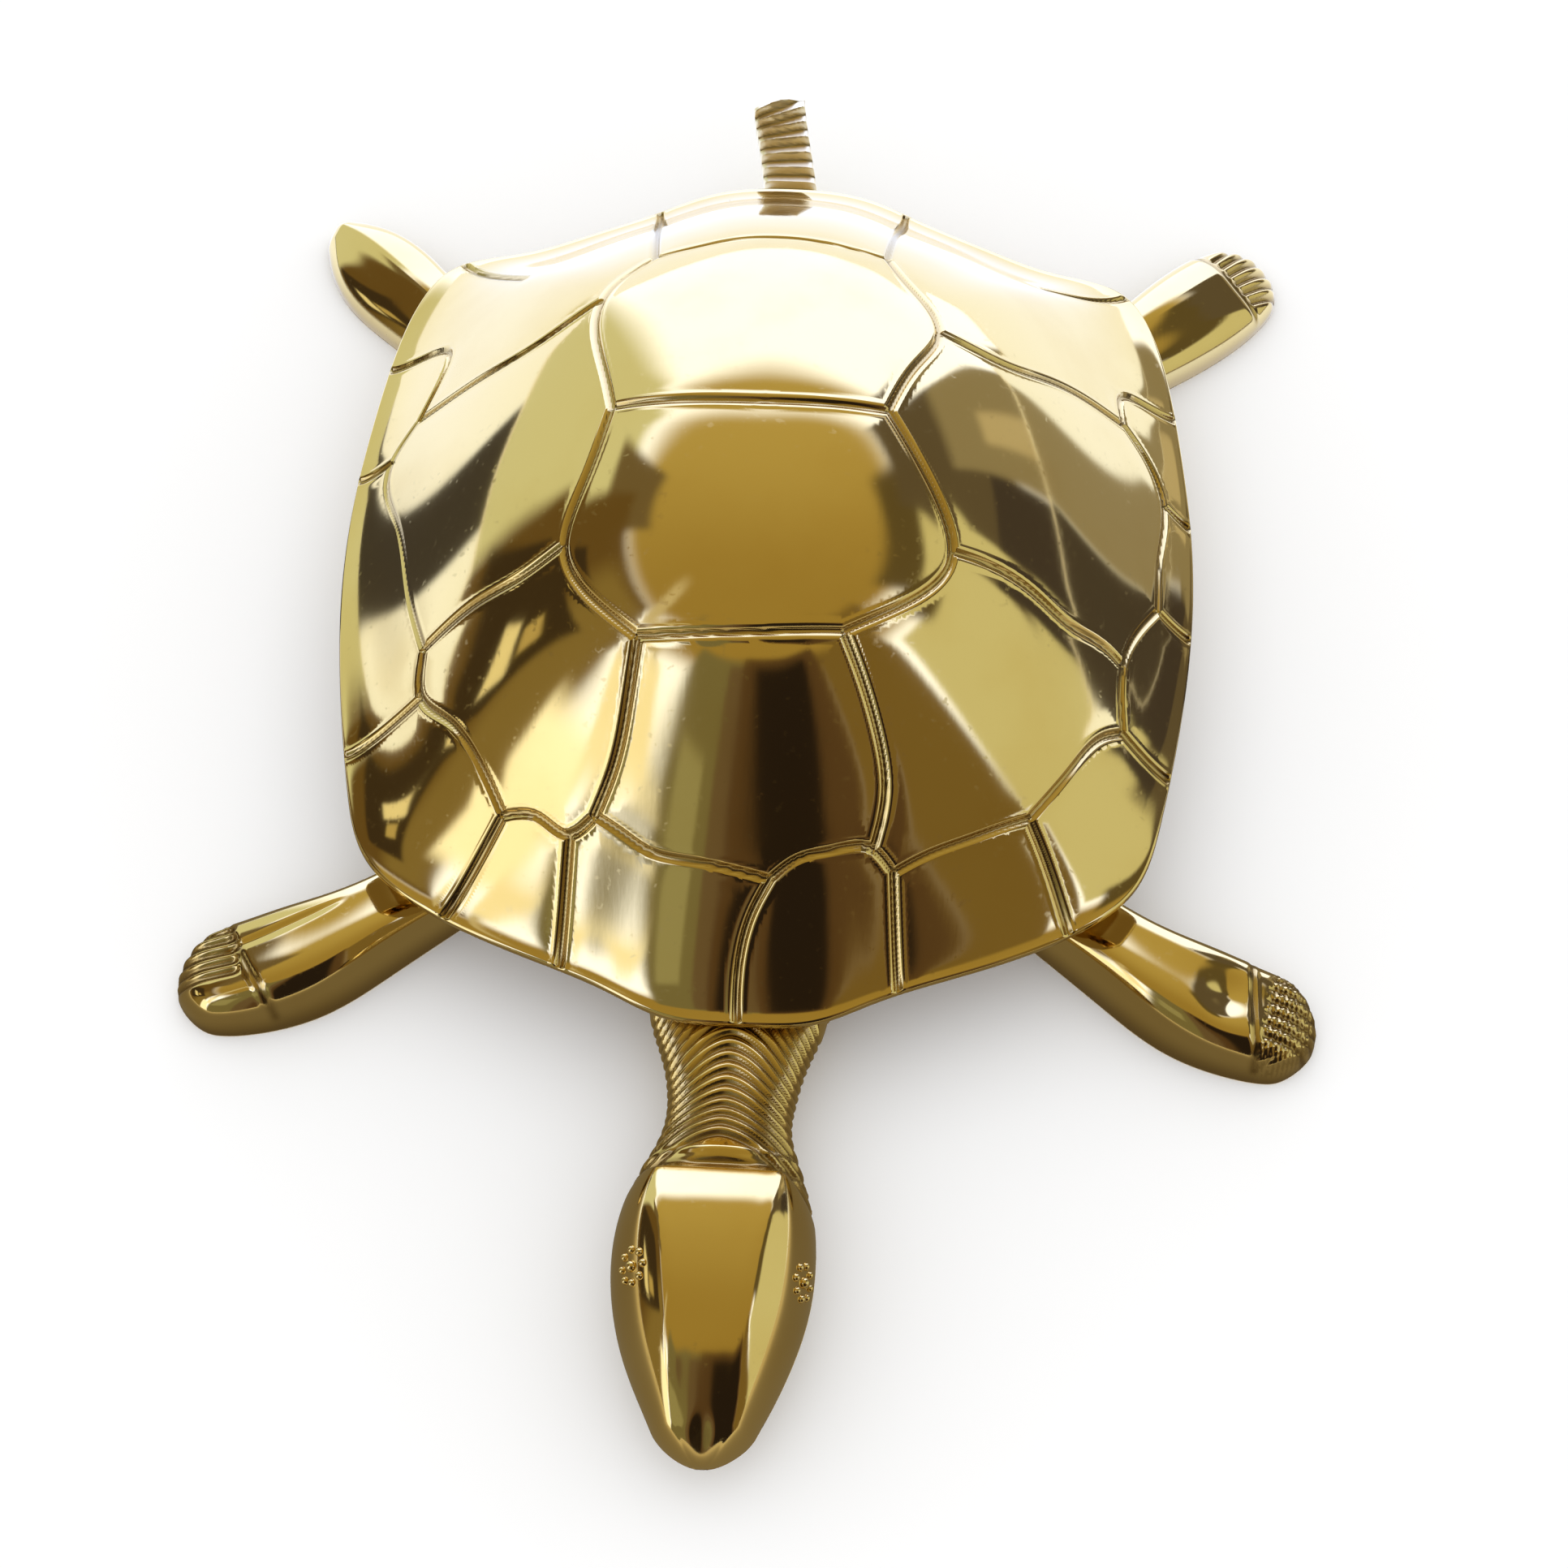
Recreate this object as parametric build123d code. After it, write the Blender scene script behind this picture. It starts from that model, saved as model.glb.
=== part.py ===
import math
import os

from build123d import *

# Millimetres. The head points along -Y, the tail along +Y and the floor is z = 0.
# Places are measured from the crown of the shell, then moved to the middle of the whole length.
# Left and right are the turtle's own, so its right side is -X.

# Shell: a cast lid with a thin flared rim
shell_width = 128
shell_front_reach = 75
shell_rear_reach = 77
shell_height = 57.5
rim_height = 16
rim_edge = 1.4
rim_land = 2.5
shell_wall = 2.2
dome_fullness_share = 2.6
rim_flare_share = 1.45

# Rim outline, right half from front to rear: shares of the half width and of the front or rear reach
rim_shares = [
    (0, -1), (0.16, -0.99), (0.28, -0.945), (0.44, -0.89), (0.59, -0.84), (0.735, -0.775),
    (0.845, -0.69), (0.905, -0.55), (0.953, -0.35), (0.99, -0.12), (1, 0.1), (0.985, 0.31),
    (0.96, 0.49), (0.915, 0.65), (0.845, 0.74), (0.69, 0.785), (0.515, 0.845), (0.345, 0.915),
    (0.19, 0.98), (0, 1),
]
# Levels of the dome, as shares of the way from the crown out to the rim
level_shares = [1, 0.965, 0.92, 0.85, 0.75, 0.62, 0.46, 0.28, 0.12]

# Body tray under the shell
tray_bottom = 7
tray_floor = 2.5
tray_wall = 2.5
tray_inset = 10.5
lid_gap = 0.3

# Hinge under the rear rim
pin_radius = 1.25
pin_fit = 0.05
pin_head_radius = 1.9
pin_head_length = 0.8
knuckle_radius = 3
knuckle_width = 11.4
lug_width = 4
hinge_side_gap = 0.3
hinge_setback = 7
hinge_height = 12

# Screws that hold the castings under the tray
screw_radius = 2
screw_head_radius = 3.5
screw_head_height = 2.2
screw_recess = 0.2
screw_slot_width = 1
screw_slot_depth = 1
screw_reach = 3.8
screw_fit = 0.25
drill_tip = 0.5
boss_radius = 4.5
boss_height = 2.6
tab_thickness = 5
tab_half_width = 5.5

# Head and neck
head_length = 58
head_half_width = 13.5
head_top = 21.5
head_lean = 1.5
neck_screw_setback = 6
neck_screw_spacing = 13
# Stations: shares of the length past the rim, lean, half width, underside and top
head_shares = [
    (-0.052, 0.27, 0.89, 0.10, 0.63), (0.052, 0.27, 0.74, 0.14, 0.69),
    (0.155, 0.33, 0.65, 0.186, 0.76), (0.241, 0.53, 0.66, 0.2, 0.82),
    (0.319, 0.67, 0.785, 0.18, 0.885), (0.414, 0.87, 0.93, 0.15, 0.96),
    (0.534, 1, 1, 0.12, 1), (0.655, 1, 0.95, 0.116, 0.977), (0.776, 1, 0.79, 0.14, 0.884),
    (0.879, 0.93, 0.58, 0.186, 0.745), (0.957, 0.93, 0.31, 0.28, 0.595),
]
head_root_shares = (0.2, 0.85, 0.093, 0.61)
snout_height_share = 0.44
oval_corners = 16
neck_end_share = 0.32
neck_ring_count = 8
neck_ring_pitch = 1.9
neck_ring_width = 0.9
neck_ring_depth = 0.5
neck_ring_gap = 1.5

# Legs, each a paddle with a flat sole
leg_overhang = 17
front_leg_height = 9.5
rear_leg_height = 8.5
front_leg_half_width = 7.9
rear_leg_half_width = 8.6
leg_screw_setback = 13
leg_screw_spacing = 13
claw_width = 1
claw_depth = 0.7
claw_length = 7
claw_shares = [-0.6, -0.3, 0, 0.3, 0.6]
# Stations: shares of the leg's reach, of the shell's reach, of the half width and of the height
front_leg_shares = [
    (0.55, -0.66, 0.75, 0.85), (0.68, -0.768, 0.84, 1), (0.78, -0.83, 1, 0.97),
    (0.88, -0.868, 0.96, 0.85), (0.955, -0.888, 0.76, 0.65), (1, -0.893, 0.36, 0.36),
]
right_rear_leg_shares = [
    (0.64, 0.65, 0.72, 0.9), (0.755, 0.765, 0.86, 1), (0.845, 0.86, 0.9, 0.94),
    (0.92, 0.94, 0.62, 0.75), (0.965, 0.99, 0.24, 0.45),
]
left_rear_leg_shares = [
    (0.64, 0.65, 0.72, 0.9), (0.755, 0.755, 0.92, 1), (0.865, 0.86, 1, 0.94),
    (0.94, 0.935, 0.82, 0.75), (0.975, 0.975, 0.5, 0.45),
]
# Cross-section of a leg: shares of the half width, from its rear edge to its front, and of the height
leg_section_shares = [
    (-1, -0.12), (-0.98, 0.3), (-0.72, 0.66), (-0.2, 0.9), (0.3, 1), (0.72, 0.92), (0.94, 0.6),
    (1, -0.12),
]

# Tail
tail_length = 21
tail_width = 9.6
tail_height = 16.5
tail_thickness = 4.5
tail_tongue_height = 5.6
tail_tongue_length = 2
tail_screw_setback = 10
tail_bend = 4
tail_rib_count = 7
tail_rib_pitch = 1.6
tail_rib_width = 0.8
tail_rib_depth = 0.6
tail_root_gap = 5

# Cuts run past their pieces by this much
overrun = 1

# Sizes that follow from those above
shell_half_width = shell_width / 2
rim_bottom = rim_height - rim_edge
tray_half_width = shell_half_width - tray_inset
tray_front_reach = shell_front_reach - tray_inset
tray_rear_reach = shell_rear_reach - tray_inset
tray_deck = tray_bottom + tray_floor
boss_top = tray_deck + boss_height
tab_bottom = tray_bottom - tab_thickness
screw_seat = tab_bottom + screw_recess + screw_head_height
hinge_y = shell_rear_reach - hinge_setback
leg_reach = shell_half_width + leg_overhang
head_reach = shell_front_reach + head_length
neck_end = -shell_front_reach - head_length * neck_end_share
tail_reach = shell_rear_reach + tail_length
length_shift = (head_reach - tail_reach) / 2


# Shell outline and dome
def rim_points(half_width, front, rear):
    right = [(half_width * x, (front if y < 0 else rear) * y) for x, y in rim_shares]
    left = [(-x, y) for x, y in reversed(right[1:-1])]
    return right + left


def rim_ring(points, height):
    corners = [Vector(x, y, height) for x, y in points]
    return Wire([Edge.make_spline(corners, periodic=True)])


# Each level is the rim drawn in towards the crown, rounder the higher it lies
def dome(half_width, front, rear, base, top):
    rings = []
    for share in level_shares:
        height = base + (top - base) * (1 - share**dome_fullness_share) ** rim_flare_share
        points = []
        for x, y in rim_points(half_width, front, rear):
            reach = front if y < 0 else rear
            round_share = 1 / math.hypot(x / half_width, y / reach)
            blend_share = share**2 + (1 - share**2) * round_share
            points.append((x * share * blend_share, y * share * blend_share))
        rings.append(rim_ring(points, height))
    return Solid.make_loft(rings + [Vertex(0, 0, top)])


def rim_prism(half_width, front, rear, low, high):
    ring = rim_ring(rim_points(half_width, front, rear), low)
    return extrude(Face(ring), amount=high - low, dir=(0, 0, 1))


def upright(radius, low, high, x, y):
    return Pos(x, y, low) * extrude(Circle(radius), amount=high - low)


def cross_pin(radius, low, high, y, z):
    return Pos(low, y, z) * extrude(Plane.YZ * Circle(radius), amount=high - low)


def block(low, high):
    size = [b - a for a, b in zip(low, high)]
    middle = [(a + b) / 2 for a, b in zip(low, high)]
    return Pos(*middle) * Box(*size)


def inner_dome(gap):
    return Pos(0, 0, -gap) * dome(
        shell_half_width - rim_land, shell_front_reach - rim_land, shell_rear_reach - rim_land,
        rim_bottom, shell_height - shell_wall,
    )


def shell():
    outer = dome(
        shell_half_width, shell_front_reach, shell_rear_reach, rim_height, shell_height
    ) + rim_prism(shell_half_width, shell_front_reach, shell_rear_reach, rim_bottom, rim_height)
    under_rim = rim_prism(shell_half_width, shell_front_reach, shell_rear_reach, 0, rim_bottom)
    cup = outer - inner_dome(0)
    inner_face = knuckle_width / 2 + hinge_side_gap
    outer_face = inner_face + lug_width
    for side in (-1, 1):
        low, high = sorted((side * inner_face, side * outer_face))
        post = block(
            (low, hinge_y - knuckle_radius, hinge_height),
            (high, hinge_y + knuckle_radius, shell_height),
        )
        cup += post & (outer + under_rim)
        cup += cross_pin(knuckle_radius, low, high, hinge_y, hinge_height)
    bore_reach = outer_face + overrun
    return cup - cross_pin(pin_radius + pin_fit, -bore_reach, bore_reach, hinge_y, hinge_height)


def hinge_pin():
    shank_reach = knuckle_width / 2 + hinge_side_gap + lug_width + hinge_side_gap
    pin = cross_pin(pin_radius, -shank_reach, shank_reach, hinge_y, hinge_height)
    for side in (-1, 1):
        low, high = sorted((side * shank_reach, side * (shank_reach + pin_head_length)))
        pin += cross_pin(pin_head_radius, low, high, hinge_y, hinge_height)
    return pin


# Legs
def leg_stations(shares, side, height, half_width):
    reach = shell_front_reach if shares[0][1] < 0 else shell_rear_reach
    return [
        (side * leg_reach * x, reach * y, half_width * w, height * h) for x, y, w, h in shares
    ]


def heading(stations, index):
    before = stations[max(index - 1, 0)]
    after = stations[min(index + 1, len(stations) - 1)]
    along_x, along_y = after[0] - before[0], after[1] - before[1]
    length = math.hypot(along_x, along_y)
    return along_x / length, along_y / length


# The section's front edge is the one on the head's side
def leg_section(stations, index):
    x, y, half_width, height = stations[index]
    along_x, along_y = heading(stations, index)
    side = -1 if along_x > 0 else 1
    corners = [
        Vector(
            x - side * along_y * half_width * across, y + side * along_x * half_width * across,
            height * up,
        )
        for across, up in leg_section_shares
    ]
    return Wire([Edge.make_spline(corners), Edge.make_line(corners[-1], corners[0])])


def leg_screw_places(stations):
    x, y = stations[0][:2]
    along_x, along_y = heading(stations, 0)
    distances = (leg_screw_setback, leg_screw_setback + leg_screw_spacing)
    return [(x - along_x * d, y - along_y * d) for d in distances]


# The tab runs in under the tray and takes the screws
def tab(start, end):
    along = math.degrees(math.atan2(end[1] - start[1], end[0] - start[0]))
    length = math.dist(start, end) + tab_half_width
    plate = block((0, -tab_half_width, tab_bottom), (length, tab_half_width, tray_bottom))
    return Pos(start[0], start[1], 0) * Rot(0, 0, along) * plate


def screw_holes(places):
    cuts = []
    for x, y in places:
        cuts.append(upright(screw_radius + screw_fit, tab_bottom - overrun, tray_bottom + overrun, x, y))
        cuts.append(upright(screw_head_radius + screw_fit, tab_bottom - overrun, screw_seat, x, y))
    return cuts


def claw_cuts(stations):
    x, y, half_width, height = stations[-2]
    along_x, along_y = heading(stations, len(stations) - 2)
    angle = math.degrees(math.atan2(along_y, along_x))
    cuts = []
    for share in claw_shares:
        across = share * half_width
        blade = block(
            (-claw_length / 2, across - claw_width / 2, height - claw_depth),
            (claw_length, across + claw_width / 2, height * 2),
        )
        cuts.append(Pos(x, y, 0) * Rot(0, 0, angle) * blade)
    return cuts


def leg(stations):
    wires = [leg_section(stations, index) for index in range(len(stations))]
    places = leg_screw_places(stations)
    body = split(Solid.make_loft(wires), Plane.XY, Keep.TOP) + tab(stations[1][:2], places[-1])
    for cut in screw_holes(places) + claw_cuts(stations):
        body -= cut
    return body


# Head and neck
def oval(y, middle_x, half_width, low, high):
    middle, half_height = (low + high) / 2, (high - low) / 2
    corners = []
    for step in range(oval_corners):
        turn = math.tau * step / oval_corners
        corners.append(
            Vector(middle_x + half_width * math.cos(turn), y, middle + half_height * math.sin(turn))
        )
    return Wire([Edge.make_spline(corners, periodic=True)])


def neck_screw_places():
    first = tray_front_reach - neck_screw_setback
    return [(0, -first), (0, neck_screw_spacing - first)]


def head_stations():
    lean, width, low, high = head_root_shares
    stations = [(-tray_front_reach - tray_wall, lean, width, low, high)]
    stations += [(-shell_front_reach - head_length * s, *rest) for s, *rest in head_shares]
    return [
        (y, -head_lean * lean, head_half_width * width, head_top * low, head_top * high)
        for y, lean, width, low, high in stations
    ]


# The wrinkles are slots cut right through and filled again by a slimmer neck
def slim_neck():
    return Solid.make_loft([
        oval(y, x, half_width - neck_ring_depth, low + neck_ring_depth, high - neck_ring_depth)
        for y, x, half_width, low, high in head_stations() if y > neck_end
    ])


def neck_slots():
    return [
        block(
            (-head_half_width, neck_end + neck_ring_gap + index * neck_ring_pitch, 0),
            (
                head_half_width,
                neck_end + neck_ring_gap + neck_ring_width + index * neck_ring_pitch, head_top,
            ),
        )
        for index in range(neck_ring_count)
    ]


def head_and_neck():
    ovals = [oval(*station) for station in head_stations()]
    snout = Vertex(-head_lean, -head_reach, head_top * snout_height_share)
    places = neck_screw_places()
    body = Solid.make_loft(ovals + [snout]) - neck_slots() + slim_neck()
    body += tab((0, -tray_front_reach - tray_wall - tab_half_width), places[-1])
    for cut in screw_holes(places):
        body -= cut
    return body


# Tail: a side view and a top view, each extruded, that meet
def tail_screw_places():
    return [(0, tray_rear_reach - tail_screw_setback)]


def tail():
    front = tail_screw_places()[0][1] - tab_half_width
    step_y = hinge_y + knuckle_radius
    rise_y = shell_rear_reach + tail_tongue_length
    side_view = Polyline(
        (front, tab_bottom), (front, tray_bottom), (step_y, tray_bottom),
        (step_y + overrun, tail_tongue_height), (rise_y, tail_tongue_height),
        (tail_reach, tail_height), (tail_reach, tail_height - tail_thickness),
        (rise_y + tail_thickness, tab_bottom), close=True,
    )
    half = tail_width / 2
    top_view = Polyline(
        (-half, front), (half, front), (half, shell_rear_reach), (half - tail_bend, tail_reach),
        (-half - tail_bend / 2, tail_reach - tail_bend), (-half, shell_rear_reach), close=True,
    )
    body = extrude(Plane.YZ * make_face(side_view), amount=tail_width * 2, both=True)
    body &= extrude(make_face(top_view), amount=tail_height * 2)
    slope = math.degrees(
        math.atan2(tail_height - tail_tongue_height, tail_reach - rise_y)
    )
    for index in range(tail_rib_count):
        distance = tail_root_gap + index * tail_rib_pitch
        groove = block(
            (-tail_width, distance - tail_rib_width / 2, -tail_rib_depth),
            (tail_width, distance + tail_rib_width / 2, tail_rib_depth),
        )
        body -= Pos(0, rise_y, tail_tongue_height) * Rot(slope, 0, 0) * groove
    for cut in screw_holes(tail_screw_places()):
        body -= cut
    return body


# Body tray
def body_tray(places):
    blank = rim_prism(
        tray_half_width, tray_front_reach, tray_rear_reach, tray_bottom, shell_height
    )
    under_lid = inner_dome(lid_gap) + rim_prism(
        shell_half_width, shell_front_reach, shell_rear_reach, 0, rim_bottom - lid_gap
    )
    well = rim_prism(
        tray_half_width - tray_wall, tray_front_reach - tray_wall, tray_rear_reach - tray_wall,
        tray_deck, shell_height,
    )
    body = (blank & under_lid) - well
    half = knuckle_width / 2
    body += block(
        (-half, tray_rear_reach - tray_wall, tray_bottom),
        (half, hinge_y + knuckle_radius, hinge_height),
    )
    body += cross_pin(knuckle_radius, -half, half, hinge_y, hinge_height)
    for x, y in places:
        body += upright(boss_radius, tray_deck, boss_top, x, y)
    for x, y in places:
        drill_top = tray_bottom + screw_reach + drill_tip
        body -= upright(screw_radius, tray_bottom - overrun, drill_top, x, y)
    return body - cross_pin(pin_radius, -knuckle_width, knuckle_width, hinge_y, hinge_height)


def screw(x, y):
    body = upright(screw_radius, screw_seat, tray_bottom + screw_reach, x, y)
    head_bottom = screw_seat - screw_head_height
    body += upright(screw_head_radius, head_bottom, screw_seat, x, y)
    slot = block(
        (-screw_head_radius, -screw_slot_width / 2, head_bottom - overrun),
        (screw_head_radius, screw_slot_width / 2, head_bottom + screw_slot_depth),
    )
    return body - Pos(x, y, 0) * slot


def write(name, body):
    export_step(Pos(0, length_shift, 0) * body, f"parts/{name}.step")


os.makedirs("parts", exist_ok=True)
legs = {
    "front_right_leg": leg_stations(front_leg_shares, -1, front_leg_height, front_leg_half_width),
    "front_left_leg": leg_stations(front_leg_shares, 1, front_leg_height, front_leg_half_width),
    "rear_right_leg": leg_stations(right_rear_leg_shares, -1, rear_leg_height, rear_leg_half_width),
    "rear_left_leg": leg_stations(left_rear_leg_shares, 1, rear_leg_height, rear_leg_half_width),
}
screw_places = {}
for name, stations in legs.items():
    write(name, leg(stations))
    for end, place in zip(("outer", "inner"), leg_screw_places(stations)):
        screw_places[f"{name}_{end}_screw"] = place
for end, place in zip(("front", "rear"), neck_screw_places()):
    screw_places[f"neck_{end}_screw"] = place
screw_places["tail_screw"] = tail_screw_places()[0]
for name, place in screw_places.items():
    write(name, screw(*place))
write("shell", shell())
write("hinge_pin", hinge_pin())
write("head_and_neck", head_and_neck())
write("tail", tail())
write("body_tray", body_tray(screw_places.values()))
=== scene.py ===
import math

import bpy
import numpy as np
from mathutils import Matrix, Vector
from mathutils.kdtree import KDTree


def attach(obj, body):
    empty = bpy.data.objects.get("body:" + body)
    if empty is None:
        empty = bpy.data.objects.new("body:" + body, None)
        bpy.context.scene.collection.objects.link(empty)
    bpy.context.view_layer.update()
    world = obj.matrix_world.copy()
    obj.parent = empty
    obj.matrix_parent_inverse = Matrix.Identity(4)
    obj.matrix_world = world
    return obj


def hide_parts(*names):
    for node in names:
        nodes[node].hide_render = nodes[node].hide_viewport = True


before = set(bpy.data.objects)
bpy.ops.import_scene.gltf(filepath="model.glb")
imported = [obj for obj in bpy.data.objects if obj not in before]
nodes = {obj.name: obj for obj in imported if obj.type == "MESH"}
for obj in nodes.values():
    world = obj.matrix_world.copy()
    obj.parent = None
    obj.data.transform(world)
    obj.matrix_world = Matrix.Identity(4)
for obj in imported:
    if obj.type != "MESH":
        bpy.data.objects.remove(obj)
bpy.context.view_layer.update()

mm = 0.001
weldGap = 0.01  # points closer than this are one point, in mm
crownY = 17.5  # the shell's crown lies this far behind the middle, in mm
print("frame loaded:", len(nodes), "CAD nodes")


# Small helpers
def deselectAll():
    bpy.ops.object.select_all(action="DESELECT")


def makeActive(piece):
    deselectAll()
    piece.select_set(True)
    bpy.context.view_layer.objects.active = piece


def smoothLine(knots, values, at):
    # a natural cubic curve through a few given values
    k, v = np.array(knots, float), np.array(values, float)
    gap, count = np.diff(k), len(k)
    rows, right = np.eye(count), np.zeros(count)
    for i in range(1, count - 1):
        rows[i, i - 1 : i + 2] = gap[i - 1], 2 * (gap[i - 1] + gap[i]), gap[i]
        right[i] = 6 * ((v[i + 1] - v[i]) / gap[i] - (v[i] - v[i - 1]) / gap[i - 1])
    bend = np.linalg.solve(rows, right)
    at = np.asarray(at, float)
    i = np.clip(np.searchsorted(k, at, side="right") - 1, 0, count - 2)
    a, b, h = k[i + 1] - at, at - k[i], gap[i]
    curve = (bend[i] * a**3 + bend[i + 1] * b**3) / (6 * h)
    return curve + (v[i] / h - bend[i] * h / 6) * a + (v[i + 1] / h - bend[i + 1] * h / 6) * b


def bump(x, middle, width):
    return np.exp(-(((x - middle) / width) ** 2))


def ramp(x, low, high):
    t = np.clip((x - low) / (high - low), 0, 1)
    return t * t * (3 - 2 * t)


def unit(v):
    return v / np.maximum(np.linalg.norm(v, axis=-1, keepdims=True), 1e-12)


def gridPiece(name, across, along):
    deselectAll()
    bpy.ops.mesh.primitive_grid_add(x_subdivisions=across, y_subdivisions=along, size=2)
    piece = bpy.context.object
    piece.name = piece.data.name = name
    return piece


def readPoints(mesh):
    points = np.empty(len(mesh.vertices) * 3)
    mesh.vertices.foreach_get("co", points)
    return points.reshape(-1, 3)


def writePoints(mesh, points):
    # millimetres from the crown's foot, turned into metres in the shared frame
    mesh.vertices.foreach_set("co", ((points + (0, crownY, 0)) * mm).ravel())
    mesh.update()


def writeMask(mesh, name, values):
    layer = mesh.attributes.new(name, "FLOAT", "POINT")
    layer.data.foreach_set("value", np.clip(values, 0, 1).astype(np.float32))


def closeUp(piece):
    # weld seams and poles, then turn every face outward
    makeActive(piece)
    bpy.ops.object.mode_set(mode="EDIT")
    bpy.ops.mesh.select_all(action="SELECT")
    bpy.ops.mesh.remove_doubles(threshold=weldGap * mm)
    bpy.ops.mesh.normals_make_consistent(inside=False)
    bpy.ops.object.mode_set(mode="OBJECT")
    bpy.ops.object.shade_smooth()


def joinInto(piece, others):
    deselectAll()
    for other in others:
        other.select_set(True)
    piece.select_set(True)
    bpy.context.view_layer.objects.active = piece
    bpy.ops.object.join()
    return piece


def cutNode(name, place, outward):
    # a copy of a CAD node that keeps only what lies inward of a plane
    copy = nodes[name].copy()
    copy.data = nodes[name].data.copy()
    for key in list(copy.keys()):
        del copy[key]
    copy.parent = None
    copy.matrix_world = nodes[name].matrix_world
    bpy.context.collection.objects.link(copy)
    makeActive(copy)
    bpy.ops.object.mode_set(mode="EDIT")
    bpy.ops.mesh.select_all(action="SELECT")
    bpy.ops.mesh.remove_doubles(threshold=0.001 * mm)
    bpy.ops.mesh.select_all(action="SELECT")
    spot = (place[0] * mm, (place[1] + crownY) * mm, place[2] * mm)
    bpy.ops.mesh.bisect(plane_co=spot, plane_no=outward, use_fill=True, clear_outer=True)
    bpy.ops.mesh.select_all(action="SELECT")
    bpy.ops.mesh.normals_make_consistent(inside=False)
    bpy.ops.object.mode_set(mode="OBJECT")
    bpy.ops.object.shade_smooth_by_angle(angle=math.radians(35))
    return copy


# The shell: a dome with cut scute lines. Lengths in mm, shares run from 0 at the crown to 1 at the rim
shell = {
    "halfWidth": 64, "frontReach": 75, "rearReach": 77,
    "crown": 57.5, "rim": 16, "fullness": 2.6, "flare": 1.45,
    "bandBottom": 14.6, "land": 2.5, "wall": 2.2, "edgeRound": 0.4,
    "grooveWidth": 0.46, "grooveDepth": 0.46, "grooveShade": 0.6, "pillow": 0.1, "pillowWidth": 2.4,
    "shoulder": 0.07, "shoulderAt": 0.92, "shoulderWidth": 0.36, "waves": 0.07, "rimSteps": 0.12,
    # faces across the grid, then the distances from a groove at which the faces are halved
    "faces": 124, "nearGroove": 2.5, "atGroove": 1.5, "grooveSpacing": 0.8,
    # the line on the turtle's right flank that is hardly to be seen, and its share of the full depth
    "faintLine": 19, "faintShare": 0.4,
    # rings of the inside, from the rim to the crown
    "insideRings": (1, 0.97, 0.92, 0.85, 0.76, 0.65, 0.52, 0.38, 0.24, 0.12, 0.04),
}
# right half of the rim, head end first, in shares of half width and reach
rimShares = [
    (0, -1), (0.16, -0.99), (0.28, -0.945), (0.44, -0.89), (0.59, -0.84), (0.735, -0.775),
    (0.845, -0.69), (0.905, -0.55), (0.953, -0.35), (0.99, -0.12), (1, 0.1), (0.985, 0.31),
    (0.96, 0.49), (0.915, 0.65), (0.845, 0.74), (0.69, 0.785), (0.515, 0.845), (0.345, 0.915),
    (0.19, 0.98), (0, 1),
]
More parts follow.
